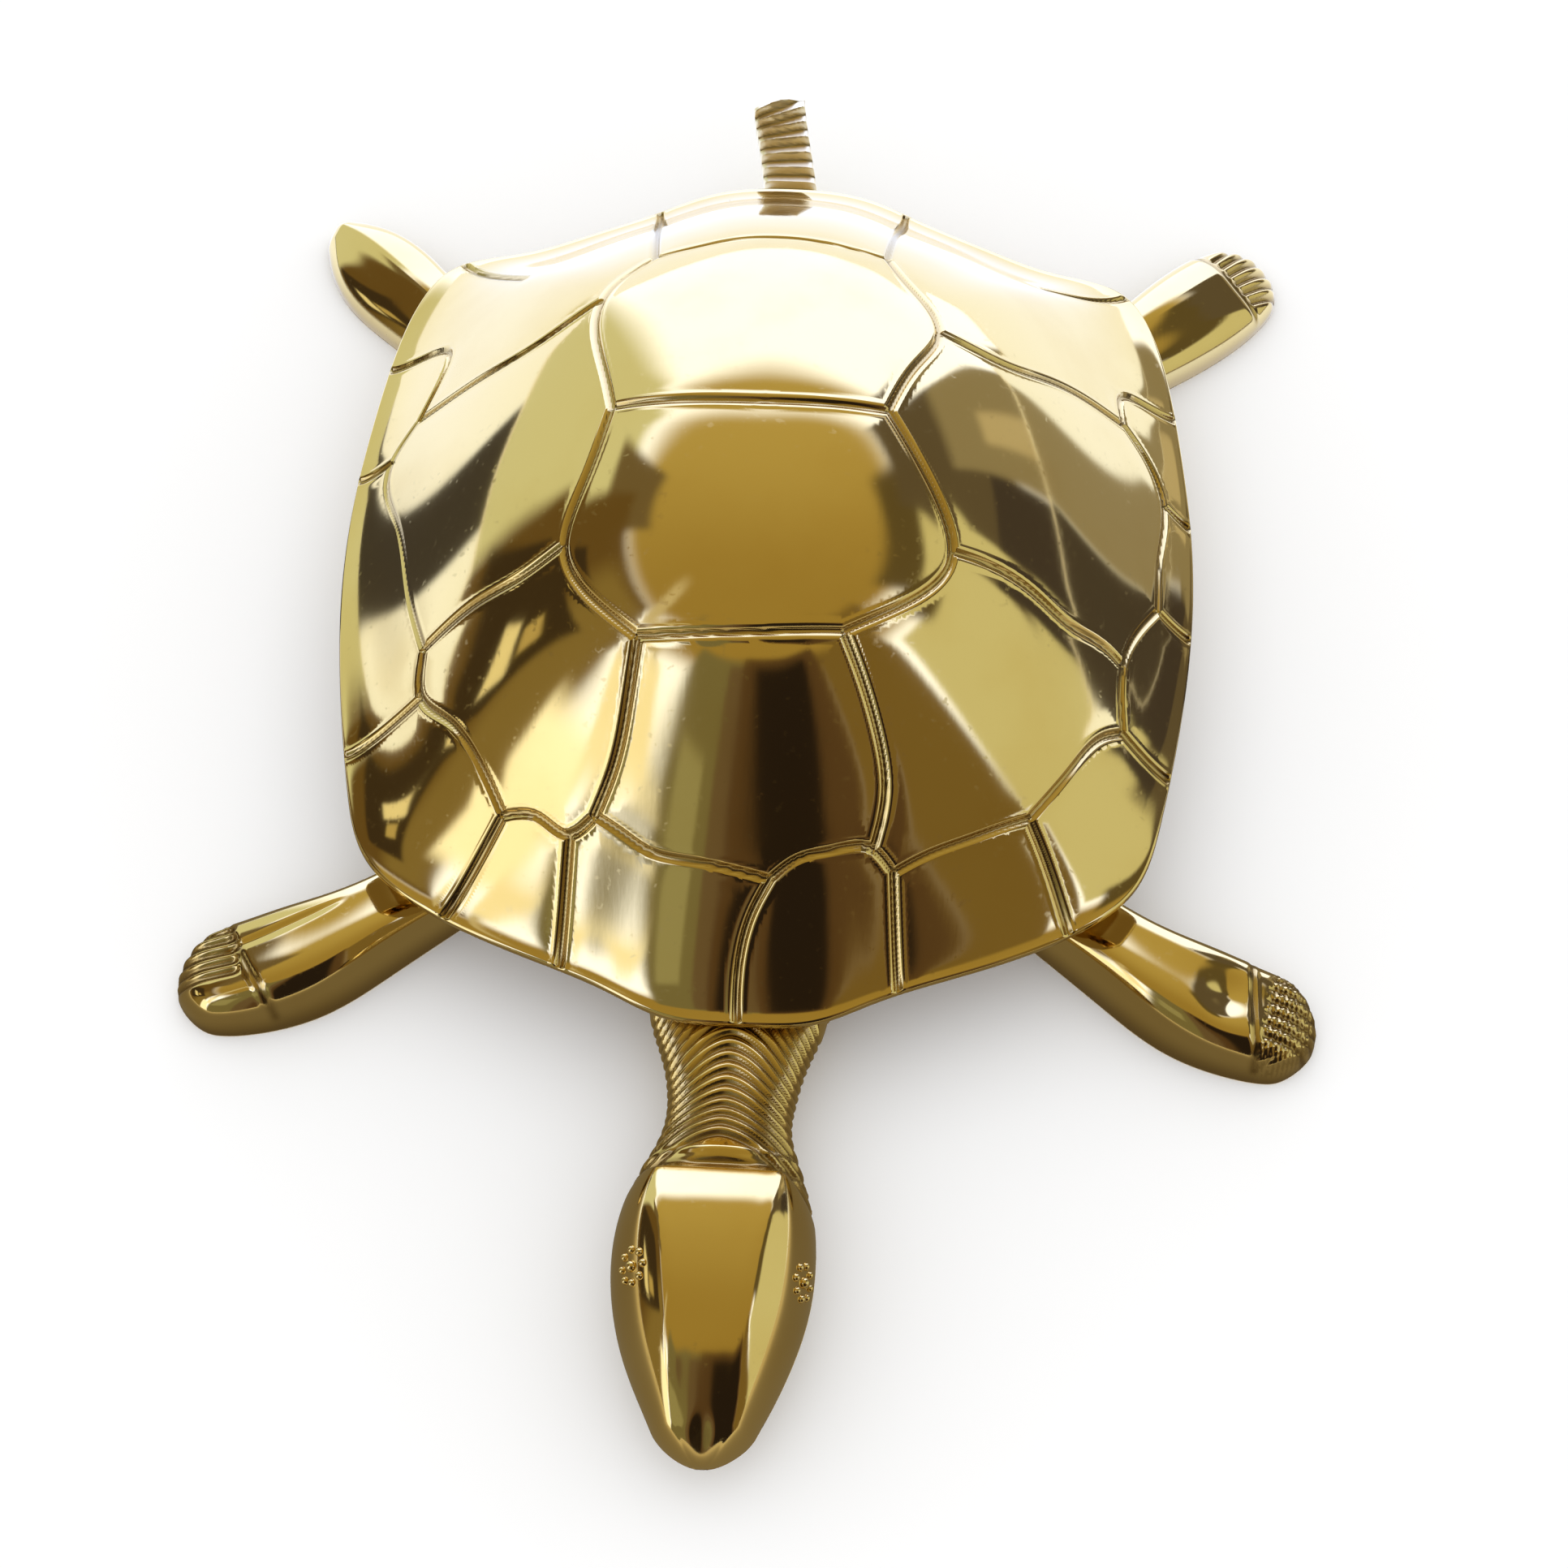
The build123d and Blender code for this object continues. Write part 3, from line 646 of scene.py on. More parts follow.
# Head and neck
head = {
    # y, middle x, half width, underside, top
    "stations": [(-69, -0.4, 12.6, 2.1, 12.9), (-72, -0.4, 12.0, 2.15, 13.5), (-78, -0.4, 10.0, 3.0, 14.8),
                 (-84, -0.5, 8.8, 4.0, 16.3), (-89, -0.8, 8.9, 4.3, 17.6), (-93.5, -1.0, 10.6, 3.9, 19.0),
                 (-99, -1.3, 12.5, 3.2, 20.7), (-106, -1.5, 13.4, 2.6, 21.4), (-113, -1.5, 12.8, 2.5, 20.9),
                 (-120, -1.5, 10.8, 2.9, 19.0), (-126, -1.4, 8.1, 3.6, 16.2), (-130, -1.4, 6.1, 4.6, 13.8),
                 (-132.9, -1.4, 4.8, 5.6, 12.2)],
    "from": -69, "to": -132.9, "rootCut": -70, "across": 168, "along": 260,
    "tipRound": 4.2, "ridgeSoft": 1.75, "ridge": 0.2,
    "panelBack": -96.8, "step": 0.9, "neckGroove": 0.5, "neckGrooveAt": -95.7,
    "collar": 0.55, "collarAt": -93.7,
    "panel": [(-92, 0.60), (-98, 0.62), (-106, 0.47), (-113, 0.40), (-120, 0.42), (-128, 0.5)],
    "wrinkles": [-61.0, -63.2, -65.2, -67.2, -69.2, -71.2, -73.4, -75.6, -77.7, -79.6, -81.6, -83.6, -85.5,
                 -87.1, -88.5, -90.0, -91.6],
    "wrinkleDepth": 0.72, "wrinkleWidth": 0.48, "wrinkleArch": 0.21,
    "edgeRoll": 0.4, "backRoll": 0.7, "rollFrom": -107,
    "mouthHeight": 7.4, "mouthSlope": 0.06, "mouthWidth": 0.3, "notchAt": -130.2, "notch": 0.5,
    # place along the head and turn of each eye; the turtle's left one is a guess, low on its side
    "eye": {-1: (-110.2, 137), 1: (-110.2, 26)}, "eyeRing": 2.1, "eyeDots": 8, "dot": 0.56, "pupil": 0.8,
    "eyeRadius": 12.5,
}
headSpots = np.array(head["stations"], float)[::-1]
panelSpots = np.array(head["panel"], float)[::-1]


def headPoint(y, turn):
    # turn in degrees: 0 the turtle's left side, 90 the top, 180 its right side
    angle = np.radians(turn)
    x0, w, low, top = [smoothLine(headSpots[:, 0], headSpots[:, i], y) for i in range(1, 5)]
    isHead = 1 - ramp(y, -97, -94)
    middle = low + (top - low) * (0.42 - 0.04 * isHead)
    flat = smoothLine(panelSpots[:, 0], panelSpots[:, 1], np.clip(y, -128, -92)) * isHead
    late = np.clip((head["to"] - 0.05 + head["tipRound"] - y) / head["tipRound"], 0, 1)
    close = np.sqrt(1 - late**2)
    w, low, top = w * close, middle + (low - middle) * close, middle + (top - middle) * close
    c, s = np.cos(angle), np.sin(angle)
    side = np.sign(c) * np.abs(c) ** (1 - 0.12 * isHead)
    q = np.clip((np.abs(side) - flat) / (1 - flat), 0, 1)
    rise = (1 - q ** (2 - (2 - head["ridgeSoft"]) * isHead)) ** (1 / (2 - 0.2 * isHead))
    z = np.where(s >= 0, middle + (top - middle) * rise, middle + (middle - low) * s)
    x = x0 + w * side
    crest = bump(np.abs(side), flat, 0.11) * isHead * ramp(y, -130, -122) * (s > 0)
    z = z + head["ridge"] * crest
    # the panel rolls down a little towards its long edges and its back
    rolled = np.clip(np.abs(side) / np.maximum(flat, 0.05), 0, 1) ** 3
    back = np.clip((y - head["rollFrom"]) / (head["panelBack"] - head["rollFrom"]), 0, 1) ** 2
    z = z - (head["edgeRoll"] * rolled + head["backRoll"] * back) * isHead * (s > 0)
    # the step behind the panel, the groove and the collar
    behind = ramp(y, head["panelBack"] - 0.15, head["panelBack"] + 0.35) * (1 - ramp(y, -94.2, -90))
    dip = head["step"] * behind + head["neckGroove"] * bump(y, head["neckGrooveAt"], 0.5)
    dip = dip - head["collar"] * bump(y, head["collarAt"], 0.7)
    z = z - dip * ramp(s, 0.25, 0.6)
    # wrinkles arch towards the shell
    arch = head["wrinkleArch"] * (1 - 0.45 * ramp(-y, 80, 92))
    level = y + arch * np.abs(w * side + 0.6) ** 1.65
    cut = sum(bump(level, spot, head["wrinkleWidth"]) for spot in head["wrinkles"])
    cut = cut * ramp(s, -0.35, 0.1)
    # painted shade in the wrinkles and the neck groove
    paintedShade = cut + 0.8 * bump(y, head["neckGrooveAt"], 0.7) * ramp(s, 0.2, 0.5)
    inward = head["wrinkleDepth"] * cut
    x = x - c * inward
    z = z - s * inward
    # mouth line and the small notch at the snout
    lips = head["mouthHeight"] + head["mouthSlope"] * (y - head["to"] + 0.1)
    mouth = bump(z, lips, head["mouthWidth"]) * (1 - ramp(y, -117, -113)) * (s < 0.6)
    x = x - np.sign(c) * head["mouthWidth"] * mouth * np.abs(c)
    notch = bump(x, x0, 1.0) * bump(y, head["notchAt"], 1.6) * (s > 0)
    z = z - head["notch"] * notch
    # painted shade along the mouth line and in the notch
    paintedShade = paintedShade + 0.6 * mouth + 0.5 * notch
    return np.stack([x, y, z], -1), paintedShade


def makeHead():
    def place(u, v):
        # rings draw closer towards the snout
        y = head["from"] + (head["to"] - head["from"]) * (0.8 * v + 0.2 * np.sin(v * math.pi / 2))
        return headPoint(y, u * 360 - 90)

    return wrapGrid("headAndNeck", head["across"], head["along"], place)


def eyeDots(side):
    # a ring of small beads round a larger one, half sunk in the side of the head
    dots = []
    y0, turn0 = head["eye"][side]
    for number in range(head["eyeDots"] + 1):
        ring = head["eyeRing"] if number else 0
        size = head["dot"] if number else head["pupil"]
        angle = math.tau * number / head["eyeDots"]
        y = y0 + ring * math.cos(angle)
        turn = turn0 + math.degrees(ring * math.sin(angle) / head["eyeRadius"])
        spot = headPoint(np.array([y]), np.array([turn]))[0][0]
        middle = Vector((spot[0], spot[1] + crownY, spot[2])) * mm
        deselectAll()
        bpy.ops.mesh.primitive_uv_sphere_add(segments=20, ring_count=12, radius=size * mm, location=middle)
        bpy.ops.object.transform_apply(location=True, rotation=True, scale=True)
        bpy.ops.object.shade_smooth()
        dot = bpy.context.object
        writeMask(dot.data, "paintedShade", np.zeros(len(dot.data.vertices)))
        dots.append(dot)
    return dots


headPiece = makeHead()
neckRoot = cutNode("head_and_neck", (0, head["rootCut"], 0), (0, -1, 0))
joinInto(headPiece, [neckRoot] + eyeDots(-1) + eyeDots(1))
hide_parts("head_and_neck")
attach(headPiece, "base")
print("head done")


# Tail
tail = {
    "start": 74.5, "rise": 79, "end": 98, "tongueTop": 5.6, "top": 16.5, "thick": 4.2, "low": 2.0,
    "width": 9.4, "taper": 0.1, "bend": 3.2, "slant": 2.6, "squareness": 0.35, "edgeRound": 0.4,
    "ribFrom": 4.6, "ribPitch": 2.45, "ribDepth": 1.15, "ribShare": 0.78, "ribLean": 0.9, "ribShade": 0.9,
    "rootCut": 75.5, "across": 96, "along": 190,
}


def makeTail():
    def place(u, v):
        angle = u * math.tau
        c, s = np.cos(angle), np.sin(angle)
        side = np.sign(c) * np.abs(c) ** tail["squareness"]
        up = np.sign(s) * np.abs(s) ** tail["squareness"]
        y = tail["start"] + (tail["end"] - tail["start"]) * v
        slope = (tail["top"] - tail["tongueTop"]) / (tail["end"] - tail["rise"])
        lift = np.maximum(y - tail["rise"], 0) * slope
        soft = 0.5 * np.exp(-((y - tail["rise"]) / 1.5) ** 2)
        top = tail["tongueTop"] + lift + soft
        under = (tail["top"] - tail["thick"] - tail["low"]) / (tail["end"] - tail["rise"] - tail["thick"])
        low = tail["low"] + np.maximum(y - tail["rise"] - tail["thick"], 0) * under
        half = tail["width"] / 2 * (1 - tail["taper"] * v)
        shift = -tail["bend"] * ramp(y, 79, 101)
        run = (y - tail["rise"]) * math.hypot(1, slope)
        lean = run - side * tail["ribLean"] * ramp(y, 84, 96)
        # shingled ribs: a long slope towards the tip, then a short riser
        turn = ((lean - tail["ribFrom"]) / tail["ribPitch"]) % 1
        climb, fall = turn / tail["ribShare"], (1 - turn) / (1 - tail["ribShare"])
        ribs = np.where(turn < tail["ribShare"], climb, fall)
        ribs = ribs * (up > 0) * ramp(lean, tail["ribFrom"] - 0.1, tail["ribFrom"] + 0.1)
        z = (top + low) / 2 + (top - low) / 2 * up
        z = z - tail["ribDepth"] * ribs * ramp(up, 0.3, 0.9)
        y = y - tail["slant"] * 0.5 * (1 - side) * ramp(v, 0.7, 1)
        x = shift + half * side
        # painted shade in the deepest part of each rib groove
        return np.stack([x, y, z], -1), ramp(ribs, 0.75, 1.0) * tail["ribShade"]

    piece = wrapGrid("tailPiece", tail["across"], tail["along"], place)
    edge = piece.modifiers.new("edge", "BEVEL")
    edge.width, edge.segments = tail["edgeRound"] * mm, 3
    edge.limit_method, edge.angle_limit = "ANGLE", math.radians(60)
    bpy.ops.object.modifier_apply(modifier=edge.name)
    bpy.ops.object.shade_smooth_by_angle(angle=math.radians(50))
    return piece


tailPiece = makeTail()
joinInto(tailPiece, [cutNode("tail", (0, tail["rootCut"], 0), (0, 1, 0))])
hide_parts("tail")
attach(tailPiece, "base")
print("tail done")


# Materials
def addNode(tree, kind, **values):
    node = tree.nodes.new(kind)
    for key, value in values.items():
        setattr(node, key, value)
    return node


def mathNode(tree, operation, first, second=None, third=None):
    node = addNode(tree, "ShaderNodeMath", operation=operation)
    for slot, value in enumerate((first, second, third)):
        if value is None:
            continue
        if isinstance(value, (int, float)):
            node.inputs[slot].default_value = value
        else:
            tree.links.new(value, node.inputs[slot])
    return node.outputs[0]


def mapRange(tree, value, fromLow, fromHigh, toLow=0.0, toHigh=1.0):
    node = addNode(tree, "ShaderNodeMapRange", interpolation_type="SMOOTHSTEP")
    tree.links.new(value, node.inputs["Value"])
    for key, number in zip(("From Min", "From Max", "To Min", "To Max"), (fromLow, fromHigh, toLow, toHigh)):
        node.inputs[key].default_value = number
    return node.outputs["Result"]


def band(tree, value, low, high, soft):
    # 1 between low and high, fading over a soft width at both ends
    begin = mapRange(tree, value, low - soft / 2, low + soft / 2)
    end = mapRange(tree, value, high - soft / 2, high + soft / 2, 1.0, 0.0)
    return mathNode(tree, "MULTIPLY", begin, end)


def mixColour(tree, share, first, second):
    node = addNode(tree, "ShaderNodeMix", data_type="RGBA")
    for key, value in ((0, share), (6, first), (7, second)):
        if isinstance(value, (int, float)):
            node.inputs[key].default_value = value
        elif isinstance(value, tuple):
            node.inputs[key].default_value = (*value, 1)
        else:
            tree.links.new(value, node.inputs[key])
    return node.outputs[2]


def noise(tree, coordinates, scale, detail=3, stretch=None):
    if stretch:
        squeeze = addNode(tree, "ShaderNodeMapping")
        squeeze.inputs["Scale"].default_value = stretch
        tree.links.new(coordinates, squeeze.inputs["Vector"])
        coordinates = squeeze.outputs["Vector"]
    node = addNode(tree, "ShaderNodeTexNoise")
    node.inputs["Scale"].default_value = scale
    node.inputs["Detail"].default_value = detail
    tree.links.new(coordinates, node.inputs["Vector"])
    return node.outputs["Fac"]


# noise scales, the noise values between which each effect grows, and the share of each effect
wearAndShade = {
    "cloudScale": 45, "cloudFrom": 0.42, "cloudTo": 0.7, "cloudHeight": 0.35,
    "speckScale": 900, "speckFrom": 0.63, "speckTo": 0.72, "speckRoughness": 0.08,
    "rubbingScale": 1500, "rubbingStretch": (1, 0.06, 0.3), "rubbingHeight": 0.1,
    "paintedShadeShare": 0.85, "recessRoughness": 0.22,
}


def wornMetalAndShadeGroup():
    # tarnish clouds, fine rubbing lines, and painted shade in grooves, creases and low walls, for every
    # metal here
    tree = bpy.data.node_groups.new("wornMetalAndShade", "ShaderNodeTree")
    face = tree.interface
    for name, kind, value in (
        ("Clean", "NodeSocketColor", (0.8, 0.6, 0.2, 1)), ("Tarnish", "NodeSocketColor", (0.5, 0.3, 0.1, 1)),
        ("Shade Colour", "NodeSocketColor", (0.1, 0.06, 0.02, 1)), ("Tarnish Share", "NodeSocketFloat", 0.3),
        ("Base Roughness", "NodeSocketFloat", 0.1), ("Rubbing", "NodeSocketFloat", 0.05),
        ("Painted Shade", "NodeSocketFloat", 0.0),
    ):
        socket = face.new_socket(name, in_out="INPUT", socket_type=kind)
        socket.default_value = value
    face.new_socket("Colour", in_out="OUTPUT", socket_type="NodeSocketColor")
    for name in ("Roughness", "Height"):
        face.new_socket(name, in_out="OUTPUT", socket_type="NodeSocketFloat")
    inside = addNode(tree, "NodeGroupInput").outputs
    outside = addNode(tree, "NodeGroupOutput").inputs
    spot = addNode(tree, "ShaderNodeTexCoord").outputs["Object"]
    clouds = mapRange(tree, noise(tree, spot, wearAndShade["cloudScale"], 4), wearAndShade["cloudFrom"], wearAndShade["cloudTo"])
    specks = mapRange(tree, noise(tree, spot, wearAndShade["speckScale"], 2), wearAndShade["speckFrom"], wearAndShade["speckTo"])
    rubbing = noise(tree, spot, wearAndShade["rubbingScale"], 2, wearAndShade["rubbingStretch"])
    share = mathNode(tree, "MULTIPLY", clouds, inside["Tarnish Share"])
    colour = mixColour(tree, share, inside["Clean"], inside["Tarnish"])
    # painted shade: the mask mixes the dark shade colour into the brass
    deep = mathNode(tree, "MULTIPLY", inside["Painted Shade"], wearAndShade["paintedShadeShare"])
    colour = mixColour(tree, deep, colour, inside["Shade Colour"])
    rough = mathNode(tree, "MULTIPLY_ADD", clouds, inside["Rubbing"], inside["Base Roughness"])
    rough = mathNode(tree, "MULTIPLY_ADD", specks, wearAndShade["speckRoughness"], rough)
    rough = mathNode(tree, "MULTIPLY_ADD", inside["Painted Shade"], wearAndShade["recessRoughness"], rough)
    height = mathNode(tree, "MULTIPLY", rubbing, wearAndShade["rubbingHeight"])
    height = mathNode(tree, "MULTIPLY_ADD", clouds, wearAndShade["cloudHeight"], height)
    tree.links.new(colour, outside["Colour"])
    tree.links.new(rough, outside["Roughness"])
    tree.links.new(height, outside["Height"])
    return tree


wornMetalAndShade = wornMetalAndShadeGroup()


def metal(name, settings, paintedShade=None):
    material = bpy.data.materials.new(name)
    material.use_nodes = True
    tree = material.node_tree
    shader = tree.nodes["Principled BSDF"]
    shader.inputs["Metallic"].default_value = 1.0
    group = addNode(tree, "ShaderNodeGroup", node_tree=wornMetalAndShade)
    for key in ("Clean", "Tarnish", "Shade Colour"):
        group.inputs[key].default_value = (*settings[key], 1)
    for key in ("Tarnish Share", "Base Roughness", "Rubbing"):
        group.inputs[key].default_value = settings[key]
    if paintedShade:
        mask = addNode(tree, "ShaderNodeAttribute", attribute_name=paintedShade)
        tree.links.new(mask.outputs["Fac"], group.inputs["Painted Shade"])
    tree.links.new(group.outputs["Colour"], shader.inputs["Base Color"])
    tree.links.new(group.outputs["Roughness"], shader.inputs["Roughness"])
    relief = addNode(tree, "ShaderNodeBump")
    relief.inputs["Strength"].default_value = settings["relief"]
    relief.inputs["Distance"].default_value = settings["reliefHeight"] * mm
    tree.links.new(group.outputs["Height"], relief.inputs["Height"])
    tree.links.new(relief.outputs["Normal"], shader.inputs["Normal"])
    return material


# each finish has clean and tarnish colours and a dark colour for its painted shade
finishes = {
    "polishedBrass": {
        "Clean": (0.85, 0.665, 0.30), "Tarnish": (0.78, 0.57, 0.21), "Shade Colour": (0.25, 0.15, 0.045),
        "Tarnish Share": 0.45, "Base Roughness": 0.07, "Rubbing": 0.03, "relief": 0.25, "reliefHeight": 0.05,
    },
    # a rougher satin copy of the brass, whose paler colour is painted light that brightens the tail
    "satinLitBrass": {
        "Clean": (0.91, 0.79, 0.52), "Tarnish": (0.84, 0.7, 0.42), "Shade Colour": (0.26, 0.2, 0.09),
        "Tarnish Share": 0.4, "Base Roughness": 0.32, "Rubbing": 0.05, "relief": 0.4, "reliefHeight": 0.06,
    },
    "castBrass": {
        "Clean": (0.62, 0.44, 0.14), "Tarnish": (0.42, 0.27, 0.08), "Shade Colour": (0.12, 0.07, 0.02),
        "Tarnish Share": 0.7, "Base Roughness": 0.32, "Rubbing": 0.12, "relief": 0.6, "reliefHeight": 0.15,
    },
    "zincScrew": {
        "Clean": (0.56, 0.56, 0.55), "Tarnish": (0.42, 0.41, 0.38), "Shade Colour": (0.1, 0.1, 0.1),
        "Tarnish Share": 0.5, "Base Roughness": 0.28, "Rubbing": 0.1, "relief": 0.4, "reliefHeight": 0.05,
    },
}
polishedBrass = metal("polishedBrass", finishes["polishedBrass"], "paintedShade")
satinLitBrass = metal("satinLitBrass", finishes["satinLitBrass"], "paintedShade")
castBrass = metal("castBrass", finishes["castBrass"])
zincScrew = metal("zincScrew", finishes["zincScrew"])


def dress(piece, material):
    piece.data.materials.clear()
    piece.data.materials.append(material)


for piece in [turtleShell, headPiece] + legPieces:
    dress(piece, polishedBrass)
dress(tailPiece, satinLitBrass)
for name, node in nodes.items():
    finish = zincScrew if name.endswith("screw") else castBrass
    for slot in node.material_slots:
        slot.material = finish
    if not node.material_slots:
        node.data.materials.append(finish)
print("materials done")


# Stage: a white floor, a white room and softly edged cards that the metal mirrors
stage = {
    "floorSize": 6, "floorDrop": 0.05, "floor": (0.98, 0.98, 0.98), "room": (1.07, 1.07, 1.07),
    "cardDistance": 1.6,
    "ceilingFront": (0.37, 0.27, 0.075), "ceilingBack": (0.52, 0.42, 0.15), "backLight": (1.55, 1.8, 2.9),
    # the ceiling changes colour from front to back, and the back light fades out between these elevations
    "ceilingBlend": (-0.3, 0.65), "backLightTop": (45, 55),
    # azimuth low and high, elevation low and high, softness of each, lean of the upright edges, colour
    # azimuth 0 is over the head and grows towards the image's right
    "cards": [
        (-150, -106, -30, 46, 12, 5, 0, (0.72, 0.77, 0.6)),
        (-130, -98, 40, 58, 5, 4, 0, (0.17, 0.13, 0.07)),
        (-112, -58, -20, 51, 5, 4, 0.1, (0.14, 0.09, 0.03)),
        (-80, -56, -10, 48, 14, 8, 0.2, (0.25, 0.19, 0.07)),
        (-104, -79, 4, 37, 3, 3, -0.4, (0.05, 0.035, 0.02)),
        (-95, -84, 14, 20, 1.5, 1.5, -0.8, (0.95, 0.9, 0.65)),
        (-88, -82, 22, 28, 1.5, 1.5, -0.5, (0.55, 0.45, 0.2)),
        (-40, -5, -10, 59, 5, 4, 0, (0.2, 0.185, 0.1)),
        (-35, -20, 20, 38, 3, 4, 0, (0.33, 0.33, 0.2)),
        (-13, -5, -10, 57, 2, 3, 0, (0.15, 0.11, 0.07)),
        (-58, -41, -10, 29, 3, 7, 0.3, (1.4, 1.45, 1.5)),
        (-52, -43, 24, 45, 3, 8, 0.45, (1.2, 1.2, 1.1)),
        (-62, -56, 44, 64, 3, 8, 0.6, (0.65, 0.6, 0.45)),
        (-6, 38, -10, 60, 2, 3, 0, (0.10, 0.06, 0.03)),
        (-1, 31, -10, 57, 4, 4, 0, (0.02, 0.014, 0.012)),
        (37, 60, -10, 57, 3, 6, 0, (0.20, 0.14, 0.045)),
        (58, 114, -30, 46, 3, 3, -0.15, (0.68, 0.69, 0.48)),
        (76, 130, 43, 57, 8, 5, 0, (0.12, 0.095, 0.045)),
        (110, 144, 8, 50, 3, 5, -0.25, (0.12, 0.10, 0.075)),
        (107, 122, -30, 17, 2, 2, 0, (0.06, 0.05, 0.05)),
        (122, 143, -30, 30, 2, 6, 0, (0.30, 0.27, 0.20)),
        (128, 134, -12, 15, 2, 4, 0, (0.55, 0.5, 0.38)),
    ],
    # a brownish table card under the front half, darker near the object as a painted shadow, with dark
    # sectors beside the flanks, seen only in the metal
    "tableShadowed": (0.19, 0.155, 0.095), "tableRound": (0.6, 0.52, 0.34), "tableFar": (1.15, 1.28, 1.65),
    "tableHeight": 0.2, "tableSize": 2.4, "tableFade": (0.09, 0.26), "tableBack": (-0.02, 0.09),
    "sectorSoft": 2.0,
    # each sector's corner in metres, its two bearings in degrees and its colour
    "tableSectors": [(-0.05, 0, -134, -116, (0.06, 0.055, 0.055)), (0.05, 0, 106, 124, (0.07, 0.06, 0.055)),
                     (0.05, 0, 124, 142, (0.32, 0.29, 0.22))],
}


def simpleMaterial(name):
    material = bpy.data.materials.new(name)
    material.use_nodes = True
    material.node_tree.nodes.clear()
    return material, material.node_tree


def showSurface(tree, shader):
    output = addNode(tree, "ShaderNodeOutputMaterial")
    tree.links.new(shader.outputs[0], output.inputs["Surface"])


def glowCard(card, name):
    # a card that only the metal mirrors, with its position and its parts as nodes
    card.name = name
    card.visible_camera = card.visible_diffuse = card.visible_shadow = False
    material, tree = simpleMaterial(name)
    dress(card, material)
    spot = addNode(tree, "ShaderNodeTexCoord").outputs["Object"]
    split = addNode(tree, "ShaderNodeSeparateXYZ")
    tree.links.new(spot, split.inputs[0])
    return tree, spot, split.outputs


def showGlow(tree, colour):
    glow = addNode(tree, "ShaderNodeEmission")
    tree.links.new(colour, glow.inputs["Color"])
    showSurface(tree, glow)


def makeFloor():
    deselectAll()
    bpy.ops.mesh.primitive_plane_add(size=stage["floorSize"], location=(0, 0, -stage["floorDrop"] * mm))
    floor = bpy.context.object
    bpy.ops.object.transform_apply(location=True, rotation=True, scale=True)
    floor.name = "floor"
    material, tree = simpleMaterial("paleFloor")
    matte = addNode(tree, "ShaderNodeBsdfDiffuse")
    matte.inputs["Color"].default_value = (*stage["floor"], 1)
    showSurface(tree, matte)
    dress(floor, material)


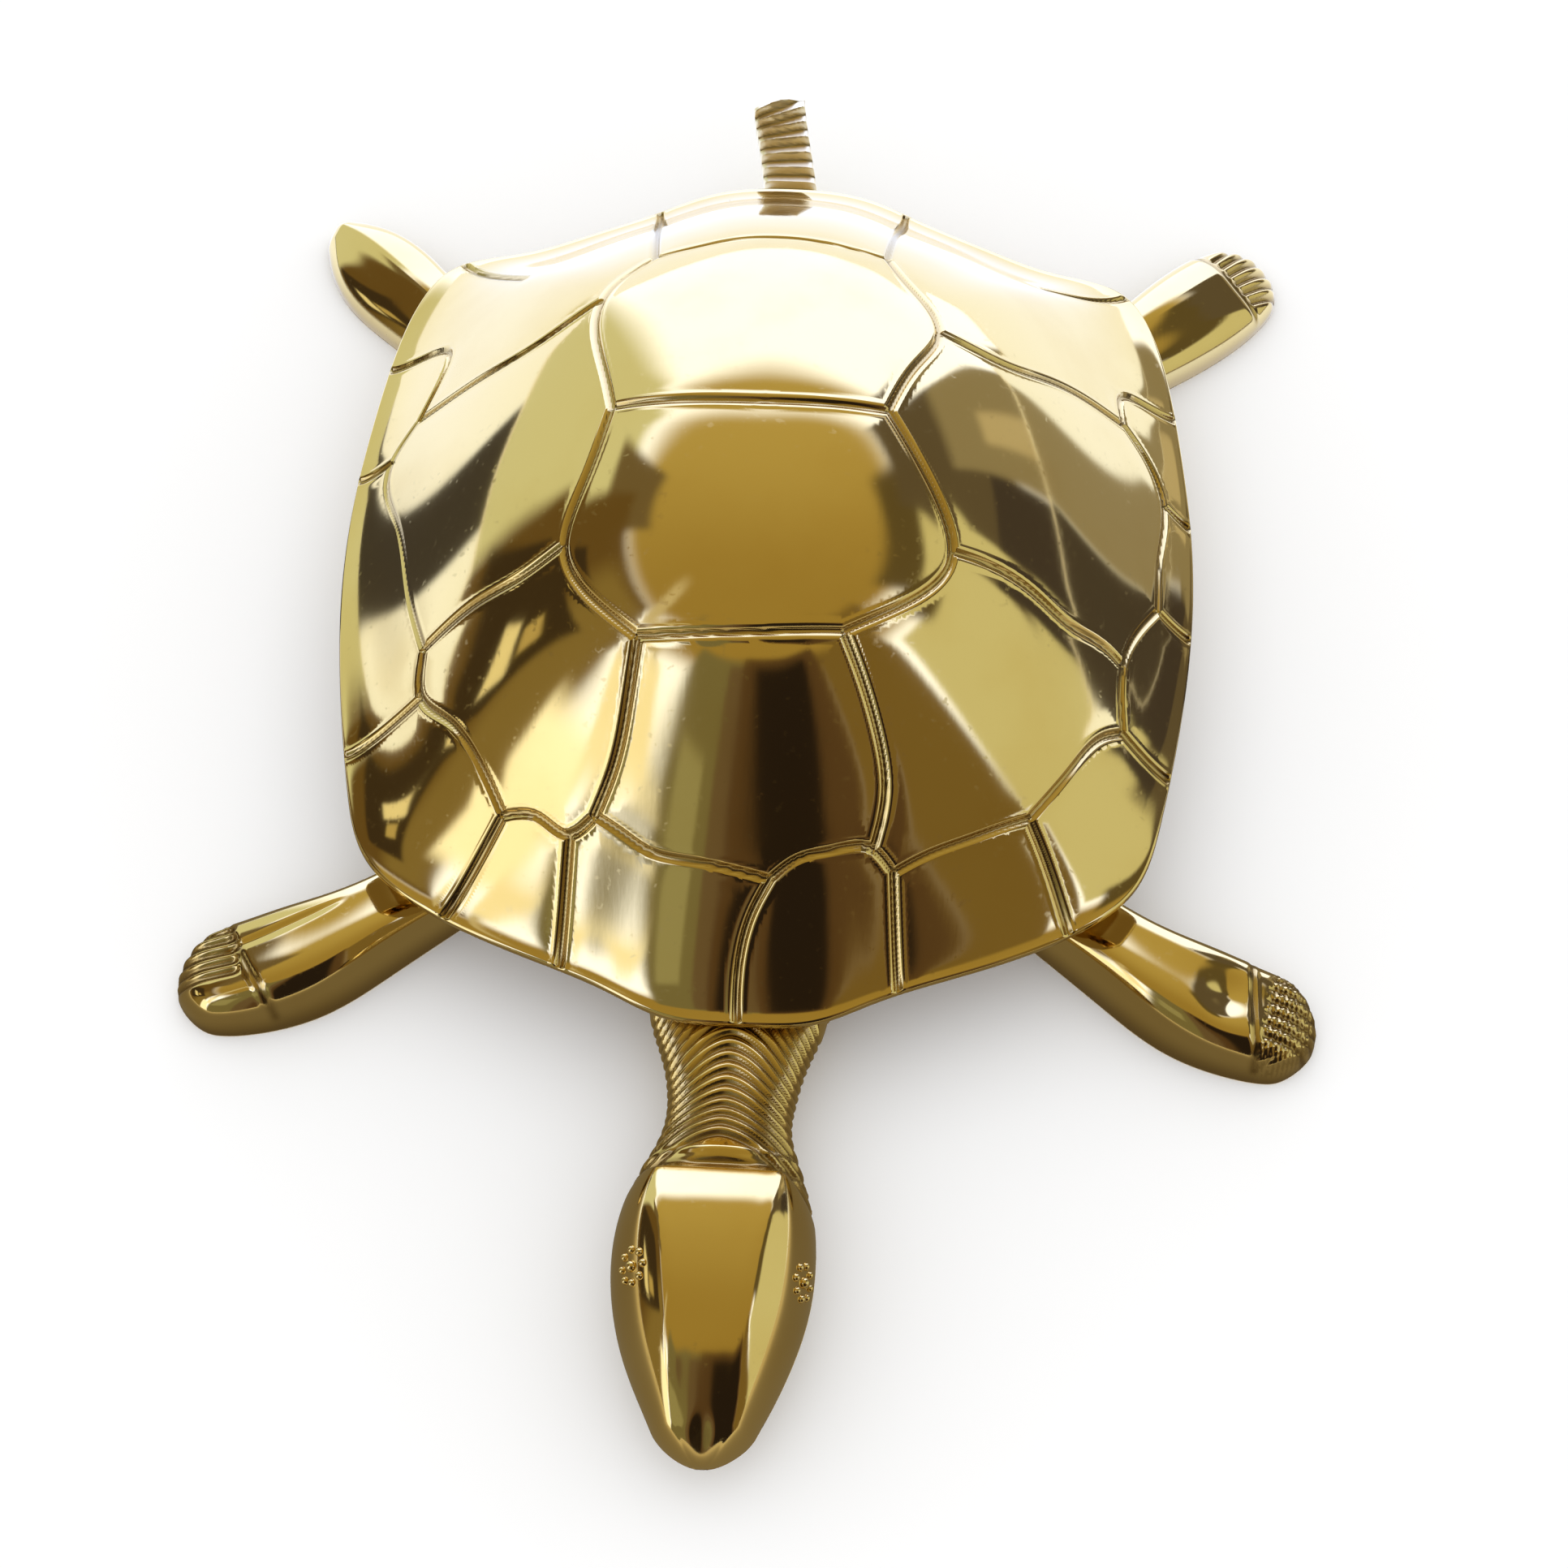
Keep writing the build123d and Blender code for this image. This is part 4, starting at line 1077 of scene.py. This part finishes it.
def makeCards():
    deselectAll()
    bpy.ops.mesh.primitive_uv_sphere_add(segments=96, ring_count=48, radius=stage["cardDistance"])
    bpy.ops.object.shade_smooth()
    tree, spot, (x, y, z) = glowCard(bpy.context.object, "studioCards")
    azimuth = mathNode(tree, "DEGREES", mathNode(tree, "ARCTAN2", x, mathNode(tree, "MULTIPLY", y, -1)))
    rise = mathNode(tree, "DIVIDE", z, stage["cardDistance"])
    elevation = mathNode(tree, "DEGREES", mathNode(tree, "ARCSINE", rise))
    backness = mathNode(tree, "DIVIDE", y, stage["cardDistance"])
    share = mapRange(tree, backness, *stage["ceilingBlend"])
    ceiling = mixColour(tree, share, stage["ceilingFront"], stage["ceilingBack"])
    share = mapRange(tree, elevation, *stage["backLightTop"])
    colour = mixColour(tree, share, stage["backLight"], ceiling)
    for left, right, low, high, softAcross, softUp, lean, shade in stage["cards"]:
        across = azimuth
        if lean:
            across = mathNode(tree, "MULTIPLY_ADD", elevation, lean, azimuth)
            left, right = left + lean * (low + high) / 2, right + lean * (low + high) / 2
        sideways = band(tree, across, left, right, softAcross)
        upright = band(tree, elevation, low, high, softUp)
        colour = mixColour(tree, mathNode(tree, "MULTIPLY", sideways, upright), colour, shade)
    showGlow(tree, colour)


def makeTable():
    deselectAll()
    middle = (0, 0, stage["tableHeight"] * mm)
    bpy.ops.mesh.primitive_circle_add(
        vertices=96, radius=stage["tableSize"] / 2, fill_type="NGON", location=middle
    )
    bpy.ops.object.transform_apply(location=True, rotation=True, scale=True)
    tree, spot, (x, y, z) = glowCard(bpy.context.object, "tableCard")
    away = addNode(tree, "ShaderNodeVectorMath", operation="LENGTH")
    tree.links.new(spot, away.inputs[0])
    # painted shadow: the table card is darker near the object
    share = mapRange(tree, away.outputs["Value"], *stage["tableFade"])
    colour = mixColour(tree, share, stage["tableShadowed"], stage["tableRound"])
    colour = mixColour(tree, mapRange(tree, y, *stage["tableBack"]), colour, stage["tableFar"])
    for middleX, middleY, left, right, shade in stage["tableSectors"]:
        aside = mathNode(tree, "SUBTRACT", x, middleX)
        ahead = mathNode(tree, "SUBTRACT", middleY, y)
        azimuth = mathNode(tree, "DEGREES", mathNode(tree, "ARCTAN2", aside, ahead))
        colour = mixColour(tree, band(tree, azimuth, left, right, stage["sectorSoft"]), colour, shade)
    showGlow(tree, colour)


makeFloor()
makeCards()
makeTable()
world = bpy.data.worlds.new("whiteRoom")
bpy.context.scene.world = world
world.use_nodes = True
world.node_tree.nodes["Background"].inputs["Color"].default_value = (*stage["room"], 1)
world.node_tree.nodes["Background"].inputs["Strength"].default_value = 1.0
bpy.context.scene.view_settings.view_transform = "Standard"

camera = {
    "place": (0.0131, -0.1934, 0.3170), "lens": 55.9, "sensor": 36,
    "right": (0.9988, 0.0493, -0.0007), "up": (-0.0424, 0.865, 0.5), "back": (0.0252, -0.4994, 0.866),
}
bpy.ops.object.camera_add()
view = bpy.context.object
view.data.lens, view.data.sensor_width = camera["lens"], camera["sensor"]
view.data.clip_start, view.data.clip_end = 0.01, 50
columns = Matrix((camera["right"], camera["up"], camera["back"])).transposed()
view.matrix_world = Matrix.Translation(camera["place"]) @ columns.to_4x4()
bpy.context.scene.camera = view
print("stage done")
